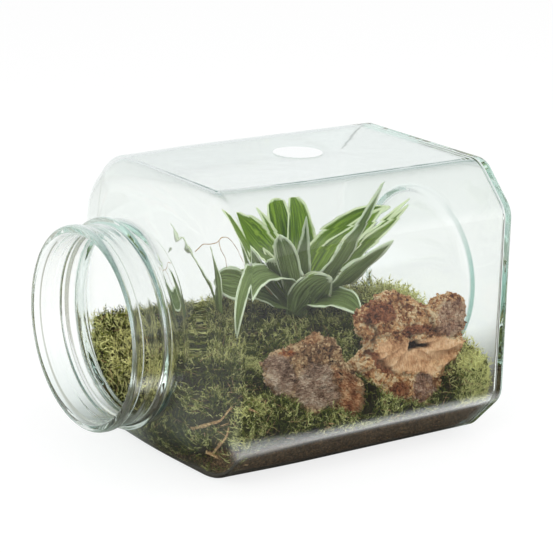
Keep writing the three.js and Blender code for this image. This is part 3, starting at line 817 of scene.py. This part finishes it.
# %% [markdown]
# Bark
#
# The left piece is weathered bark: a grey fibrous plate, a brown upper part, and a fresh orange-brown break
# full of splinters along its right edge. The right piece is cork bark: an even cut face of pale tan with a
# dark knot hole, and crumbly growth bands, tan to red-brown, above and below it. Each is an even copy of its
# solid. Zones and crevices are laid out on the piece's own slanting face, in millimetres across and up from
# its middle. They push the surface in and out, and are kept on the mesh, so that colour and relief agree.
# Where the surface turns away from that face, it is pushed about more, which makes a ragged outline.

# %% Finish: bark
def bark_finish(name, base_stops, cut_stops, grey_stops, rust_stops, fibre):
    material, tree, place_mm = start_material(name)
    zones = ("cut", "grey", "rust", "deep")
    kept = {key: add(tree, "Attribute", {"attribute_name": key}).outputs["Fac"] for key in zones}
    # Crumbs of under 2 mm, pores of under 1 mm, and stains of about 10 mm. Fibres run along the turned axis.
    crumbs = add(tree, "TexVoronoi", {"Scale": 0.6, "Randomness": 1.0}, {"Vector": place_mm})
    fine = add(tree, "TexNoise", {"Scale": 1.3, "Detail": 5.0, "Roughness": 0.7}, {"Vector": place_mm})
    broad = add(tree, "TexNoise", {"Scale": 0.11, "Detail": 4.0, "Roughness": 0.65}, {"Vector": place_mm})
    turned = add(tree, "Mapping", {"Scale": fibre["scale"], "Rotation": (0, math.radians(fibre["turn"]), 0)},
                 {"Vector": place_mm})
    lines = add(tree, "TexNoise", {"Scale": 1.0, "Detail": 4.0, "Roughness": 0.65}, {"Vector": turned})
    each_crumb = add(tree, "SeparateColor", links={0: crumbs.outputs["Color"]})
    mottled = add(tree, "Math", {"operation": "MULTIPLY_ADD", 1: 0.32}, {0: each_crumb.outputs[0], 2: broad})
    mottled = add(tree, "Math", {"operation": "MULTIPLY_ADD", 1: 0.4}, {0: fine, 2: mottled})
    lined = add(tree, "Math", {"operation": "MULTIPLY_ADD", 1: 0.75}, {0: lines, 2: broad})
    lined = add(tree, "Math", {"operation": "SUBTRACT", 1: 0.125}, {0: lined})
    colour = add(tree, "ValToRGB", {"stops": base_stops}, {"Fac": mottled})
    layers = (("rust", rust_stops, mottled), ("grey", grey_stops, lined), ("cut", cut_stops, lined))
    for key, stops, source in layers:
        layer = add(tree, "ValToRGB", {"stops": stops}, {"Fac": source})
        colour = add(tree, "Mix", {"data_type": "RGBA"}, {0: kept[key], 6: colour, 7: layer})
    # Painted shade: crevices, seams and the knot hole are darkened, besides being carved in.
    colour = add(tree, "Mix", {"data_type": "RGBA", 7: linear("#2a150d")}, {0: kept["deep"], 6: colour})
    grit = add(tree, "Math", {"operation": "MULTIPLY_ADD", 1: -0.55}, {0: crumbs, 2: fine})
    smoother = add(tree, "Mix", {"data_type": "FLOAT"}, {0: kept["cut"], 2: grit, 3: lines})
    relief = add(tree, "Bump", {"Strength": 1.0, "Distance": 0.002}, {"Height": smoother})
    shader = add(tree, "BsdfPrincipled", {"Roughness": 0.92, "IOR": 1.4},
                 {"Base Color": colour, "Normal": relief})
    end_material(material, shader)
    return material


weathered_bark = bark_finish(
    "weathered_bark",
    [(0.6, "#4c3020"), (0.76, "#8f6347"), (0.92, "#c8986e"), (1.0, "#efc8a0")],
    [(0.55, "#602f1c"), (0.68, "#b36a46"), (0.8, "#e3a87c"), (0.93, "#f5d3b0")],
    [(0.55, "#4c3428"), (0.66, "#8e6856"), (0.78, "#c09a84"), (0.92, "#e8ccb8")],
    [(0.6, "#5a2412"), (0.8, "#ad5a2e"), (1.0, "#d58d58")],
    {"scale": (0.3, 0.9, 1.7), "turn": 8})
cork_bark = bark_finish(
    "cork_bark",
    [(0.6, "#632f1c"), (0.74, "#b47249"), (0.88, "#eeb27e"), (1.0, "#fbd8b0")],
    [(0.55, "#ad7650"), (0.7, "#d99f77"), (0.82, "#ebb78f"), (0.95, "#f6caa8")],
    [(0.55, "#4d2f29"), (0.66, "#916554"), (0.78, "#ba8e7a"), (0.93, "#dcb7a4")],
    [(0.6, "#47200f"), (0.78, "#8c4a30"), (1.0, "#c07a55")],
    {"scale": (1.5, 0.8, 0.16), "turn": 0})


# %% Helpers: zones and crevices on a slanting face
class Face:
    """Places on the leaning front face of a chunk: across, up and into it, in mm from its middle."""

    def __init__(self, points, middle, lean, front, seed):
        angle = math.radians(lean)
        away = points - np.array(middle)
        self.inwards = np.array([0, math.cos(angle), -math.sin(angle)])
        self.up = away @ np.array([0, math.sin(angle), math.cos(angle)])
        self.into = away @ self.inwards - front
        self.across = away[:, 0]
        # A wandering edge, so that no zone ends in a clean curve.
        self.drift = 2.2 * lumps(points, 8, 3, seed + 5), 2.2 * lumps(points, 8, 3, seed + 6)

    def zone(self, across, up, wide, high, turn=0):
        cosine, sine = math.cos(math.radians(turn)), math.sin(math.radians(turn))
        beside, above = self.across - across + self.drift[0], self.up - up + self.drift[1]
        out = np.hypot((beside * cosine + above * sine) / wide, (above * cosine - beside * sine) / high)
        return np.clip((1.12 - out) / 0.24, 0, 1)

    def crevice(self, route, width):
        places = np.stack([self.across + self.drift[0], self.up + self.drift[1]], axis=1)
        return np.exp(-(distance_to(route, places) / width) ** 2)


def most(*zones):
    return np.maximum.reduce(zones)


def bark_piece(name, node, seed, fibre, ragged, material, slot, face_of, lay_out):
    """An even copy of a solid, roughened outside its cut zones and carved along its crevices."""
    mesh = even_copy(node, 0.7)
    points, normals = points_of(mesh), vectors_of(mesh, "normal")
    face = face_of(points)
    facing = np.clip((4.5 - face.into) / 3, 0, 1)
    kept, deeper = lay_out(face)
    rough = 1 - 0.85 * kept["cut"] * facing
    ridges = 0.9 - np.abs(lumps(points, 6, 4, seed))
    push = 1.5 * lumps(points, 13, 3, seed + 1) * (0.4 + 0.6 * rough)
    push += rough * (1.5 * ridges + 1.0 * lumps(points, 2.6, 3, seed + 2)) - 1.1
    push -= rough * 1.1 * np.exp(-(lumps(points * fibre, 2.2, 2, seed + 3) / 0.16) ** 2)
    on_edge = 1 - np.abs(normals @ face.inwards)
    push += ragged * on_edge * lumps(points * fibre, 3, 3, seed + 4)
    move_points(mesh, keep_inside(points + normals * push[:, None] + np.outer(deeper * facing, face.inwards)))
    for key in ("cut", "grey", "rust", "deep"):
        keep_on(mesh, key, kept[key] * facing)
    finish_piece(name, mesh, [material], [node])
    return mesh


def bark_bits(name, source, template, where, sizes, ahead, count, seed, material, slot, face_of, lay_out):
    """Small crumbs, flakes or splinters on a chunk, which take the colour of the zone they lie in."""
    spots, normals, rng = scatter_on(source, count, seed, lambda at, facing: where(face_of(at), facing))
    kept = lay_out(face_of(spots))[0]
    mesh = copies(name, template, spots + normals * 0.2, ahead(normals, rng), rng, sizes)
    for key in ("cut", "grey", "rust"):
        keep_on(mesh, key, np.repeat(kept[key], len(template[0])))
    finish_piece(name, mesh, [material], smooth=False)


# %% Piece: weathered bark on the left
def lay_out_left(face):
    plate = most(face.zone(-3, -5, 17, 13, -8), face.zone(-27, 6, 10, 12))
    broken = most(face.zone(20, -10, 17, 7, -48), face.zone(17, -20, 9, 5, -20))
    crack = face.crevice([(-2, -6), (5, -8), (13, -10)], 0.9)
    seam = face.crevice([(6, 14), (13, 6), (17, -2), (14, -12), (10, -20)], 1.3)
    step = face.crevice([(-22, 12), (-14, 9), (-4, 8), (8, 6)], 1.4)
    starts = ((9, 7), (14, 4), (10, 0), (17, -3))
    splits = most(*[face.crevice([(across, up), (across + 13, up - 14)], 0.7) for across, up in starts])
    kept = {
        "cut": broken * (1 - plate),
        "grey": plate * (1 - broken),
        "rust": most(face.zone(-21, 17, 5, 2.5), face.zone(24, -17, 8, 4, -30) * 0.8,
                     face.zone(0, 24, 6, 4) * 0.4),
        # deep: painted shade in the crack, the seams, the step and the splits.
        "deep": np.clip(0.8 * crack + 0.75 * seam + 0.5 * step + 0.8 * splits * broken, 0, 1),
    }
    return kept, 2.2 * crack + 2.4 * seam + 1.6 * step + 2.4 * splits * broken - 1.2 * plate


def left_face(points):
    return Face(points, middle=(-6.5, -66, 55), lean=18, front=-5, seed=21)


left_chunk = (weathered_bark, "weathered_bark", left_face, lay_out_left)
left_mesh = bark_piece("weathered_bark_plate", "bark_left", 21, (0.22, 0.7, 0.8), 4.0, *left_chunk)


# %% Pieces: splinters, fibres and flakes of the left bark
def splinter(stretch):
    bm = bmesh.new()
    bmesh.ops.create_cone(bm, cap_ends=True, segments=4, radius1=0.5, radius2=0.15, depth=1)
    bmesh.ops.scale(bm, vec=stretch, verts=bm.verts)
    return template_from(bm)


def down_the_break(normals, rng):
    slope = np.array([1.0, -0.33, -1.0])
    return slope + rng.normal(0, 0.16, normals.shape) + 0.12 * normals


def along_the_edge(normals, rng):
    return normals * 0.9 + rng.normal(0, 0.35, normals.shape) + [0.25, -0.3, -0.55]


def any_way(normals, rng):
    return normals + rng.normal(0, 0.5, normals.shape)


def in_the_break(face, facing):
    return (facing[:, 1] < 0.2) * (face.into < 9) * lay_out_left(face)[0]["cut"]


def round_the_edge(face, facing):
    return (facing[:, 1] > -0.6) * (face.into > -2) * (face.into < 6)


def off_the_break(face, facing):
    return (facing[:, 1] < 0.3) * (face.into < 8) * (1 - lay_out_left(face)[0]["cut"])


bark_bits("bark_splinters", left_mesh, splinter((0.13, 0.08, 1)), in_the_break, (3, 9), down_the_break,
          420, 41, *left_chunk)
bark_bits("bark_edge_fibres", left_mesh, splinter((0.2, 0.1, 1)), round_the_edge, (1.6, 4.6), along_the_edge,
          420, 44, *left_chunk)
bark_bits("bark_flakes", left_mesh, round_bit((1, 0.7, 0.3)), off_the_break, (1, 3.4), any_way,
          1500, 42, *left_chunk)


# %% Piece: cork bark on the right
def lay_out_right(face):
    sawn = most(face.zone(8, -7, 33, 11, -8), face.zone(-14, 0, 12, 8)) * (1 - face.zone(10, 10, 30, 7))
    knot = most(face.zone(2, 0, 5.4, 2.5), face.zone(8, 0, 6, 1.1, -8), face.zone(-1, 4, 1.6, 3.2, -20))
    above = face.crevice([(-26, 8), (-12, 10), (2, 7), (16, 4), (30, 1), (42, -1)], 1.5)
    below = face.crevice([(-38, 3), (-26, -5), (-13, -15), (0, -19), (16, -24), (30, -22)], 1.6)
    between = face.crevice([(11, 26), (14, 16), (19, 6)], 1.8)
    beside = face.crevice([(-48, 0), (-38, -2), (-28, 2), (-26, 12), (-32, 20)], 1.5)
    kept = {
        "cut": sawn * (1 - knot),
        "grey": most(face.zone(7, -28, 9, 10), face.zone(32, 12, 13, 11) * 0.75,
                     face.zone(-38, 7, 9, 4) * 0.5),
        "rust": most(face.zone(-22, 23, 12, 7), face.zone(-14, -27, 9, 7), face.zone(-24, -7, 13, 3.2, -42),
                     face.zone(4, 9, 12, 3), face.zone(-38, 6, 10, 5) * 0.6, face.zone(24, 6, 12, 4) * 0.7),
        # deep: painted shade in the knot hole and the crevices.
        "deep": np.clip(knot + 0.3 * above + 0.4 * below + 0.5 * between + 0.7 * beside, 0, 1),
    }
    return kept, 6 * knot + 1.2 * above + 1.6 * below + 2.2 * between + 2.2 * beside - 0.5 * sawn


def right_face(points):
    return Face(points, middle=(63.5, -60, 62), lean=15, front=-8, seed=31)


def on_the_crumbly_bands(face, facing):
    kept = lay_out_right(face)[0]
    return (facing[:, 1] < 0.4) * (1.02 - kept["cut"]) * np.clip(1 - 3 * kept["deep"], 0, 1)


right_chunk = (cork_bark, "cork_bark", right_face, lay_out_right)
right_mesh = bark_piece("cork_bark_chunk", "bark_right", 31, (0.5, 0.7, 0.7), 2.0, *right_chunk)
bark_bits("cork_crumbs", right_mesh, round_bit((1, 0.85, 0.7)), on_the_crumbly_bands, (0.8, 2.6), any_way,
          3300, 43, *right_chunk)

# %% [markdown]
# Leaves
#
# A rosette of broad, soft leaves. Each has a folded midrib, a margin that waves, and a cream edge that varies
# in width from leaf to leaf. Each blade starts as a flat grid, which is bent along the leaf's own path and
# given a real thickness. What the finish needs to know is kept on the mesh: the distance from the margin in
# millimetres and the place across the blade, so that the cream edge and the veins follow the leaf however it
# turns.

# %% Sizes of the leaves
CROWN = Vector((42, 19, 64))
LEAF_THICKNESS = 0.7
ROWS, COLUMNS = 44, 10
WAVE_LENGTH, FINE_WAVE_LENGTH = 32, 11  # of the margin, in mm along the leaf
FOLD_DEPTH = 0.22  # rise of the margin above the midrib, as a share of half the width
CREAM_FREE = 0.36  # no cream below this share of the length, where the blade narrows into its stalk
# heading, veer, rise, end, length, width, roll, blunt, waves of the margin
LEAVES = [
    (119, 0, 78, 26, 84, 21, -55, 3, 2.2),
    (99, 1, 81, 39, 73, 12, -40, 2, 1),
    (77, -4, 62, 44, 84, 14, -20, 12, 1.2),
    (45, 26, 85, 10, 96, 20, 0, 3, 2.6),
    (7, -12, 88, 5, 97, 22, 45, 3, 1.5),
    (-12, 0, 71, 32, 85, 21, 55, 2.5, 1.5),
    (-90, 62, 50, 67, 107, 18, -75, 1.4, 1.5),
    (-46, 3, 52, 47, 97, 16, 60, 2, 1.5),
    (-33, 30, 60, 32, 99, 12, 40, 1.5, 1),
    (-58, 0, 43, 44, 80, 16, -70, 3, 2),
    (-66, -30, 55, -20, 60, 23, 45, 3, 1.5),
    (-100, 12, 65, 27, 48, 26, -75, 3, 2),
    (-152, 6, 72, 54, 67, 14, 22, 9, 1),
    (-176, 0, 78, 52, 43, 27, 22, 9, 1.6),
    (158, 16, 43, 4, 70, 21, -72, 8, 2),
    (178, 38, 102, -84, 98, 20, -30, 2.6, 1.2),
    (147, 4, 40, 68, 60, 15, -60, 2.5, 1.5),
    (128, 0, 68, 55, 46, 11, -50, 3, 1),
    (-112, -10, 84, 66, 70, 13, 8, 2, 1),
    (62, 0, 52, 0, 58, 16, 0, 3, 1.5),
    (98, 10, 46, -6, 56, 16, 0, 3, 1.5),
    (24, -10, 46, -10, 60, 16, 0, 3, 1.5),
]
FOLD = Vector((-17, 33, 72))  # the leaf at the left is folded twice here, and its end stands up again
FOLDED_MIDDLE = (180, 0, 87, 85, 38, 24, -30, 6, 1.2)
FOLDED_END = (180, 0, 60, 62, 60, 11, -24, 2, 0.5)
IN_SHADE = {10, 14, 15, 16, 22}  # low front leaves, whose upper faces take the underside finish as painted shade


def leaf_width(share, blunt):
    return (0.65 + 0.35 * ease(share, 0, 0.45)) * max(1 - share ** blunt, 0) + 0.04


# %% Shape: one leaf
def add_leaf(bm, number, facts, layers, root):
    heading, veer, rise, end, length, width, roll, blunt, wave_height = facts
    grid = bmesh.ops.create_grid(bm, x_segments=COLUMNS, y_segments=ROWS, size=0.5)["verts"]

    def ahead(share):
        way = math.radians(heading + veer * share)
        rising = math.radians(rise + (end - rise) * share)
        return Vector((math.cos(rising) * math.cos(way), math.cos(rising) * math.sin(way), math.sin(rising)))

    way = math.radians(heading)
    middles = [root + 2 * Vector((math.cos(way), math.sin(way), 0))]
    for row in range(ROWS):
        middles.append(middles[-1] + ahead(min((row + 0.5) / ROWS + 0.055, 1)) * (length / ROWS))
    for vert in grid:
        across = vert.co.x * 2
        share = vert.co.y + 0.5
        way = math.radians(heading + veer * share)
        forward = ahead(share)
        side = Vector((-math.sin(way), math.cos(way), 0))
        side = Matrix.Rotation(math.radians(roll * share), 3, forward) @ side
        face = forward.cross(side)
        half = width / 2 * leaf_width(share, blunt)
        at = share * ROWS
        low = min(int(at), ROWS - 1)
        middle = middles[low].lerp(middles[low + 1], at - low)
        phase = 2 * math.pi * length * share / WAVE_LENGTH + number + (2 if across < 0 else 0)
        fine = 2 * math.pi * length * share / FINE_WAVE_LENGTH + number * 2.3 + (1 if across < 0 else 0)
        swell = math.sin(math.pi * min(share * 1.1, 1))
        wave = across ** 2 * swell * (wave_height * math.sin(phase) + 0.35 * math.sin(fine))
        lift = abs(across) ** 1.4 * half * FOLD_DEPTH + wave
        vert.co = (middle + side * (across * half) + face * lift) * MM
        from_tip = (1 - share) * length * 0.35
        from_stalk = 6 * max(CREAM_FREE - share, 0) / CREAM_FREE
        vert[layers["margin"]] = min((1 - abs(across)) * half, from_tip) + from_stalk
        vert[layers["across"]] = across
        vert[layers["along"]] = share * length
        vert[layers["leaf"]] = number


bm = bmesh.new()
layers = {key: bm.verts.layers.float.new(key) for key in ("margin", "across", "along", "leaf")}
for number, facts in enumerate([*LEAVES, FOLDED_MIDDLE, FOLDED_END]):
    before = set(bm.faces)
    add_leaf(bm, number, facts, layers, FOLD if number >= len(LEAVES) else CROWN)
    upper = [face for face in bm.faces if face not in before]
    bmesh.ops.solidify(bm, geom=upper, thickness=LEAF_THICKNESS * MM)
    # Painted shade: the leaves in IN_SHADE take the underside finish on their upper faces too.
    lit = set() if number in IN_SHADE else set(upper)
    for face in bm.faces:
        if face not in before and face not in lit:
            face.material_index = 1
bmesh.ops.recalc_face_normals(bm, faces=bm.faces)
leaf_mesh = mesh_from(bm, "rosette_leaves")
print("leaves:", len(LEAVES))


# %% Finish: leaves
def leaf_finish(name, blade_stops, margin_hex, vein_strength, roughness):
    material, tree, _ = start_material(name)
    margin, across, leaf, along = [
        add(tree, "Attribute", {"attribute_name": key}).outputs["Fac"]
        for key in ("margin", "across", "leaf", "along")]
    # Stripes run along the blade, about nine from midrib to margin, and differ from leaf to leaf.
    stripe_place = add(tree, "CombineXYZ", links={0: across, 1: along, 2: leaf})
    stripes = add(tree, "Mapping", {"Scale": (9, 0.03, 3.7)}, {"Vector": stripe_place})
    feather = add(tree, "TexNoise", {"Scale": 1.0, "Detail": 3.0, "Roughness": 0.6}, {"Vector": stripes})
    uneven = add(tree, "Math", {"operation": "MULTIPLY_ADD", 1: -3.8}, {0: feather, 2: margin})
    edge = add(tree, "MapRange", {"From Min": -0.9, "From Max": -0.2, "To Min": 1.0, "To Max": 0.0},
               {"Value": uneven})
    blade = add(tree, "ValToRGB", {"stops": blade_stops}, {"Fac": feather})
    colour = add(tree, "Mix", {"data_type": "RGBA", 7: linear(margin_hex)}, {0: edge, 6: blade})
    veins = add(tree, "Math", {"operation": "MULTIPLY", 1: 34.0}, {0: across})
    veins = add(tree, "Math", {"operation": "SINE"}, {0: veins})
    relief = add(tree, "Bump", {"Strength": vein_strength, "Distance": 0.0004}, {"Height": veins})
    shader = add(tree, "BsdfPrincipled", {"Roughness": roughness, "IOR": 1.42, "Subsurface Weight": 0.08},
                 {"Base Color": colour, "Normal": relief})
    shader.inputs["Subsurface Radius"].default_value = (0.001, 0.002, 0.0005)
    end_material(material, shader)
    return material


leaf_upper = leaf_finish("leaf_upper_side", [
    (0.3, "#394a0a"), (0.48, "#5a6f14"), (0.6, "#789122"), (0.75, "#a3b04e"),
], "#dfe2bb", 0.35, 0.42)
# The underside finish also serves as painted shade on the upper faces of the leaves in IN_SHADE.
underside_and_shade_finish = leaf_finish("underside_and_painted_shade_of_leaves", [
    (0.3, "#4b5a2f"), (0.5, "#68763f"), (0.65, "#829258"), (0.8, "#a8b282"),
], "#dde1c6", 0.5, 0.6)

finish_piece("rosette_of_leaves", leaf_mesh, [leaf_upper, underside_and_shade_finish], ["plant"])

# %% [markdown]
# Straws and a dry tendril
#
# Loose straws lie against the glass at the front of the shoulder, fine dry stems lie about in the moss, and
# one thin dry tendril hangs among the leaves. A straw is a small ring carried along a curved path, thinner at
# its far end.

# %% Finish: dry straw
dry_straw, tree, place_mm = start_material("dry_straw")
# Stains of about a millimetre, as on old straw that has lain damp.
fibre = add(tree, "TexNoise", {"Scale": 0.9, "Detail": 4.0}, {"Vector": place_mm})
colour = add(tree, "ValToRGB", {"stops": [(0.35, "#75523a"), (0.5, "#ad8359"), (0.65, "#d2b086")]},
             {"Fac": fibre})
shader = add(tree, "BsdfPrincipled", {"Roughness": 0.7}, {"Base Color": colour})
end_material(dry_straw, shader)

# %% Piece: dry stems in the moss
bm = bmesh.new()
bmesh.ops.create_cone(bm, segments=3, radius1=0.022, radius2=0.012, depth=1, cap_ends=True)
dry_stem = template_from(bm)
spots, normals, rng = scatter_on(
    moss_mesh, 900, 18,
    lambda at, facing: (facing[:, 2] > -0.5) * (at[:, 2] > 12) * (1 + 3 * (at[:, 1] < -50)))
stem_ways = rng.normal(0, 1, spots.shape) * [1.4, 0.6, 0.6] + 0.3 * normals
stem_mesh = copies("dry_stems_in_the_moss", dry_stem, spots + normals * 1.2, stem_ways, rng, (4, 11))
finish_piece("dry_stems_in_the_moss", stem_mesh, [dry_straw])


# %% Pieces: straws and tendril
def curve_through(route, steps=18):
    """A smooth curve through the points of a route, with so many steps from one to the next."""
    points = [Vector(point) for point in route]
    points = [points[0] * 2 - points[1], *points, points[-1] * 2 - points[-2]]
    path = []
    for before, start, end, after in zip(points, points[1:], points[2:], points[3:]):
        for step in range(steps):
            share = step / steps
            path.append(0.5 * (
                2 * start
                + (end - before) * share
                + (2 * before - 5 * start + 4 * end - after) * share * share
                + (3 * start - before - 3 * end + after) * share ** 3
            ))
    path.append(points[-2])
    return path


def stalk(bm, route, thick, thin, sides=8):
    path = curve_through(route)
    loops = []
    for number, spot in enumerate(path):
        ahead = path[min(number + 1, len(path) - 1)] - path[max(number - 1, 0)]
        turn = ahead.to_track_quat("Z", "Y").to_matrix().to_4x4()
        radius = thick + (thin - thick) * number / (len(path) - 1)
        made = bmesh.ops.create_circle(bm, segments=sides, radius=radius * MM,
                                       matrix=Matrix.Translation(spot * MM) @ turn)["verts"]
        loops.append(edges_among(made))
    for first, second in zip(loops, loops[1:]):
        bmesh.ops.bridge_loops(bm, edges=first + second)
    for loop in (loops[0], loops[-1]):
        bmesh.ops.contextual_create(bm, geom=loop)


def stalk_piece(name, routes, thick, thin, stands_for=()):
    bm = bmesh.new()
    for route in routes:
        stalk(bm, route, thick, thin)
    bmesh.ops.recalc_face_normals(bm, faces=bm.faces)
    mesh = mesh_from(bm, name)
    move_points(mesh, keep_inside(points_of(mesh), PRESS))
    finish_piece(name, mesh, [dry_straw], stands_for)


for node, route in STRAWS.items():
    stalk_piece(node + "_stalk", [route], 0.8, 0.5, [node])
stalk_piece("small_straw", [[(-61.9, -79.4, 51.1), (-58, -79.6, 49), (-55, -79.4, 46.3)]], 0.6, 0.4)
stalk_piece("dry_tendril", [
    [(-37, 30, 108), (-30, 30, 112), (-23, 30, 112), (-16, 30, 113),
     (-10, 30, 116), (-3, 30, 113), (8, 27, 98), (24, 22, 78)],
    [(-14, 30, 114), (-14, 29, 109), (-11, 28, 104), (-10, 28, 98)],
], 0.3, 0.22)

# %% [markdown]
# Paper label
#
# A blank round sticker on the side that lies uppermost: matt coated paper, white, with a faint tooth.

# %% Piece: round label
paper, tree, place_mm = start_material("matt_coated_paper")
# A tooth of a third of a millimetre, which reads as an even matt surface from where the camera stands.
tooth = add(tree, "TexNoise", {"Scale": 3.0, "Detail": 3.0}, {"Vector": place_mm})
shade = add(tree, "ValToRGB", {"stops": [(0.3, "#d8d9d9"), (0.7, "#e2e3e3")]}, {"Fac": tooth})
grain = add(tree, "Bump", {"Strength": 0.1, "Distance": 0.0002}, {"Height": tooth})
shader = add(tree, "BsdfPrincipled", {"Roughness": 0.65, "IOR": 1.5}, {"Base Color": shade, "Normal": grain})
end_material(paper, shader)

low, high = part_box("round_label")
radius = (high.x - low.x) / 2
bm = bmesh.new()
bmesh.ops.create_cone(bm, cap_ends=True, segments=96, radius1=radius, radius2=radius, depth=high.z - low.z,
                      matrix=Matrix.Translation((low + high) / 2))
rim = [edge for edge in bm.edges if abs(edge.verts[0].co.z - edge.verts[1].co.z) < 1e-7]
bmesh.ops.bevel(bm, geom=rim, offset=0.0001, offset_type="OFFSET", segments=2, profile=0.5, affect="EDGES",
                material=-1)
label_mesh = mesh_from(bm, "blank_paper_label")
finish_piece("blank_paper_label", label_mesh, [paper], ["round_label"], smooth=False)

# %% [markdown]
# Light
#
# The photograph was made on white, in very even light. A bright world gives that evenness. Clear glass would
# vanish in it, so rays that the glass has mirrored or bent see a duller sky overhead, as they would in a room
# with a dark ceiling. What lies in the jar is lit by the bright world all the same.

# %% Rays and their limits
scene = bpy.context.scene
scene.view_settings.view_transform = "Standard"
# Light that crosses thick glass at a corner is turned many times, and looks black if it is stopped too soon.
for kind in ("max_bounces", "glossy_bounces", "transmission_bounces", "transparent_max_bounces"):
    setattr(scene.cycles, kind, 24)


def ray_kinds(tree):
    """What kind of ray looks at a surface, and whether the glass has mirrored or bent it."""
    path = add(tree, "LightPath")
    turned = add(tree, "Math", {"operation": "MAXIMUM"},
                 {0: path.outputs["Is Glossy Ray"], 1: path.outputs["Is Transmission Ray"]})
    return path, turned


# %% White world
world = bpy.data.worlds.new("white_studio")
scene.world = world
world.use_nodes = True
tree = world.node_tree
direction = add(tree, "SeparateXYZ", links={0: add(tree, "TexCoord").outputs["Generated"]})
overhead = add(tree, "Math", {"operation": "MULTIPLY_ADD", 1: 0.5},
               {0: direction.outputs["X"], 2: direction.outputs["Z"]})
room = add(tree, "ValToRGB", {"stops": [
    (0, "#ffffff"), (0.56, "#f6f7f9"), (0.8, "#b9c8c5"), (1.0, "#76908b"),
]}, {"Fac": overhead})
_, turned = ray_kinds(tree)
seen = add(tree, "Mix", {"data_type": "RGBA", 6: linear("#ffffff")}, {0: turned, 7: room})
tree.links.new(seen.outputs[2], tree.nodes["Background"].inputs["Color"])
tree.nodes["Background"].inputs["Strength"].default_value = 0.95

# %% [markdown]
# Table
#
# A pale matt table top, which nearly melts into the background. Flat glass mirrors it. The table holds painted
# shade, which dulls that mirror image in front of the jar and lays a painted contact shadow beneath it, and a
# strip of light, which paints a highlight along the jar's lower edge. Only rays that the glass has turned see
# the painted shade and the strip, so that they take no light from the moss and the leaves.

# %% Table with painted shade and a strip of light
bm = bmesh.new()
bmesh.ops.create_grid(bm, x_segments=1, y_segments=1, size=6)
floor = bpy.data.objects.new("floor", mesh_from(bm, "floor"))
floor.location.z = -0.0005
scene.collection.objects.link(floor)
white_table, tree, place_mm = start_material("white_table")
path, turned = ray_kinds(tree)
spot = add(tree, "SeparateXYZ", links={0: place_mm})
depth = add(tree, "MapRange", {"From Min": -400.0, "From Max": 100.0}, {"Value": spot.outputs["Y"]})
# Painted shade and a painted highlight, shown only by the glass: grey in front of the jar dulls its mirror
# image, a white band paints the highlight along its lower edge, and the dark band beneath the jar is a painted
# contact shadow.
painted_shade_and_strip = add(tree, "ValToRGB", {"stops": [
    (0, "#a8a8a8"), (0.25, "#8c8a87"), (0.4, "#5a5852"), (0.56, "#6a6862"), (0.6, "#ffffff"),
    (0.63, "#ffffff"), (0.66, "#5c5650"), (0.8, "#5c5650"), (1, "#f0f0f0"),
]}, {"Fac": depth})
beside = add(tree, "MapRange", {"From Min": -120.0, "From Max": -90.0}, {"Value": spot.outputs["X"]})
# Beside the neck, mirrored rays see a lighter painted shade, and bent rays see the table nearly white.
left_side = add(tree, "Mix", {"data_type": "RGBA", 6: linear("#f0f0f0"), 7: linear("#b4b4ac")},
                {0: path.outputs["Is Glossy Ray"]})
painted_shade_and_strip = add(tree, "Mix", {"data_type": "RGBA"}, {0: beside, 6: left_side, 7: painted_shade_and_strip})
paint = add(tree, "Mix", {"data_type": "RGBA", 6: linear("#e2e2e2")}, {0: turned, 7: painted_shade_and_strip})
direct = path.outputs["Is Camera Ray"]
paint = add(tree, "Mix", {"data_type": "RGBA", 7: linear("#7a7a7a")}, {0: direct, 6: paint})
# The strip's own light paints the highlight along the jar's lower edge in the glass. The camera sees the table
# glow evenly white.
own_light = add(tree, "ValToRGB", {"stops": [
    (0.54, "#000000"), (0.595, "#ffffff"), (0.63, "#ffffff"), (0.65, "#000000"),
]}, {"Fac": depth})
for mask in (beside, turned):
    own_light = add(tree, "Mix", {"data_type": "RGBA", 6: linear("#000000")}, {0: mask, 7: own_light})
own_light = add(tree, "Mix", {"data_type": "RGBA", 7: linear("#e4e4e4")}, {0: direct, 6: own_light})
shader = add(tree, "BsdfPrincipled", {"Roughness": 0.9, "Specular IOR Level": 0.0, "Emission Strength": 1.0},
             {"Base Color": paint, "Emission Color": own_light})
end_material(white_table, shader)
floor.data.materials.append(white_table)

# %% [markdown]
# Lamps
#
# Two broad square lamps model the forms a little: a stronger one from the upper left, like a window, and a
# weak one from the right, which keeps the shadows open.

# %% Lamps
def soft_lamp(name, spot, size, power):
    lamp = bpy.data.lights.new(name, "AREA")
    lamp.size = size
    lamp.energy = power
    lamp_object = bpy.data.objects.new(name, lamp)
    lamp_object.location = spot
    aim = Vector((0, 0, 0.08)) - Vector(spot)
    lamp_object.rotation_euler = aim.to_track_quat("-Z", "Y").to_euler()
    # The glass would mirror the lamps as grey sheets over the leaves. They light the pieces and are not seen.
    lamp_object.visible_glossy = False
    lamp_object.visible_transmission = False
    scene.collection.objects.link(lamp_object)
    print(f"{name}: {power} watts")


soft_lamp("soft_window", (-1.2, -1.0, 1.6), 1.6, 26)
soft_lamp("soft_fill", (1.4, -0.8, 1.2), 1.4, 10)
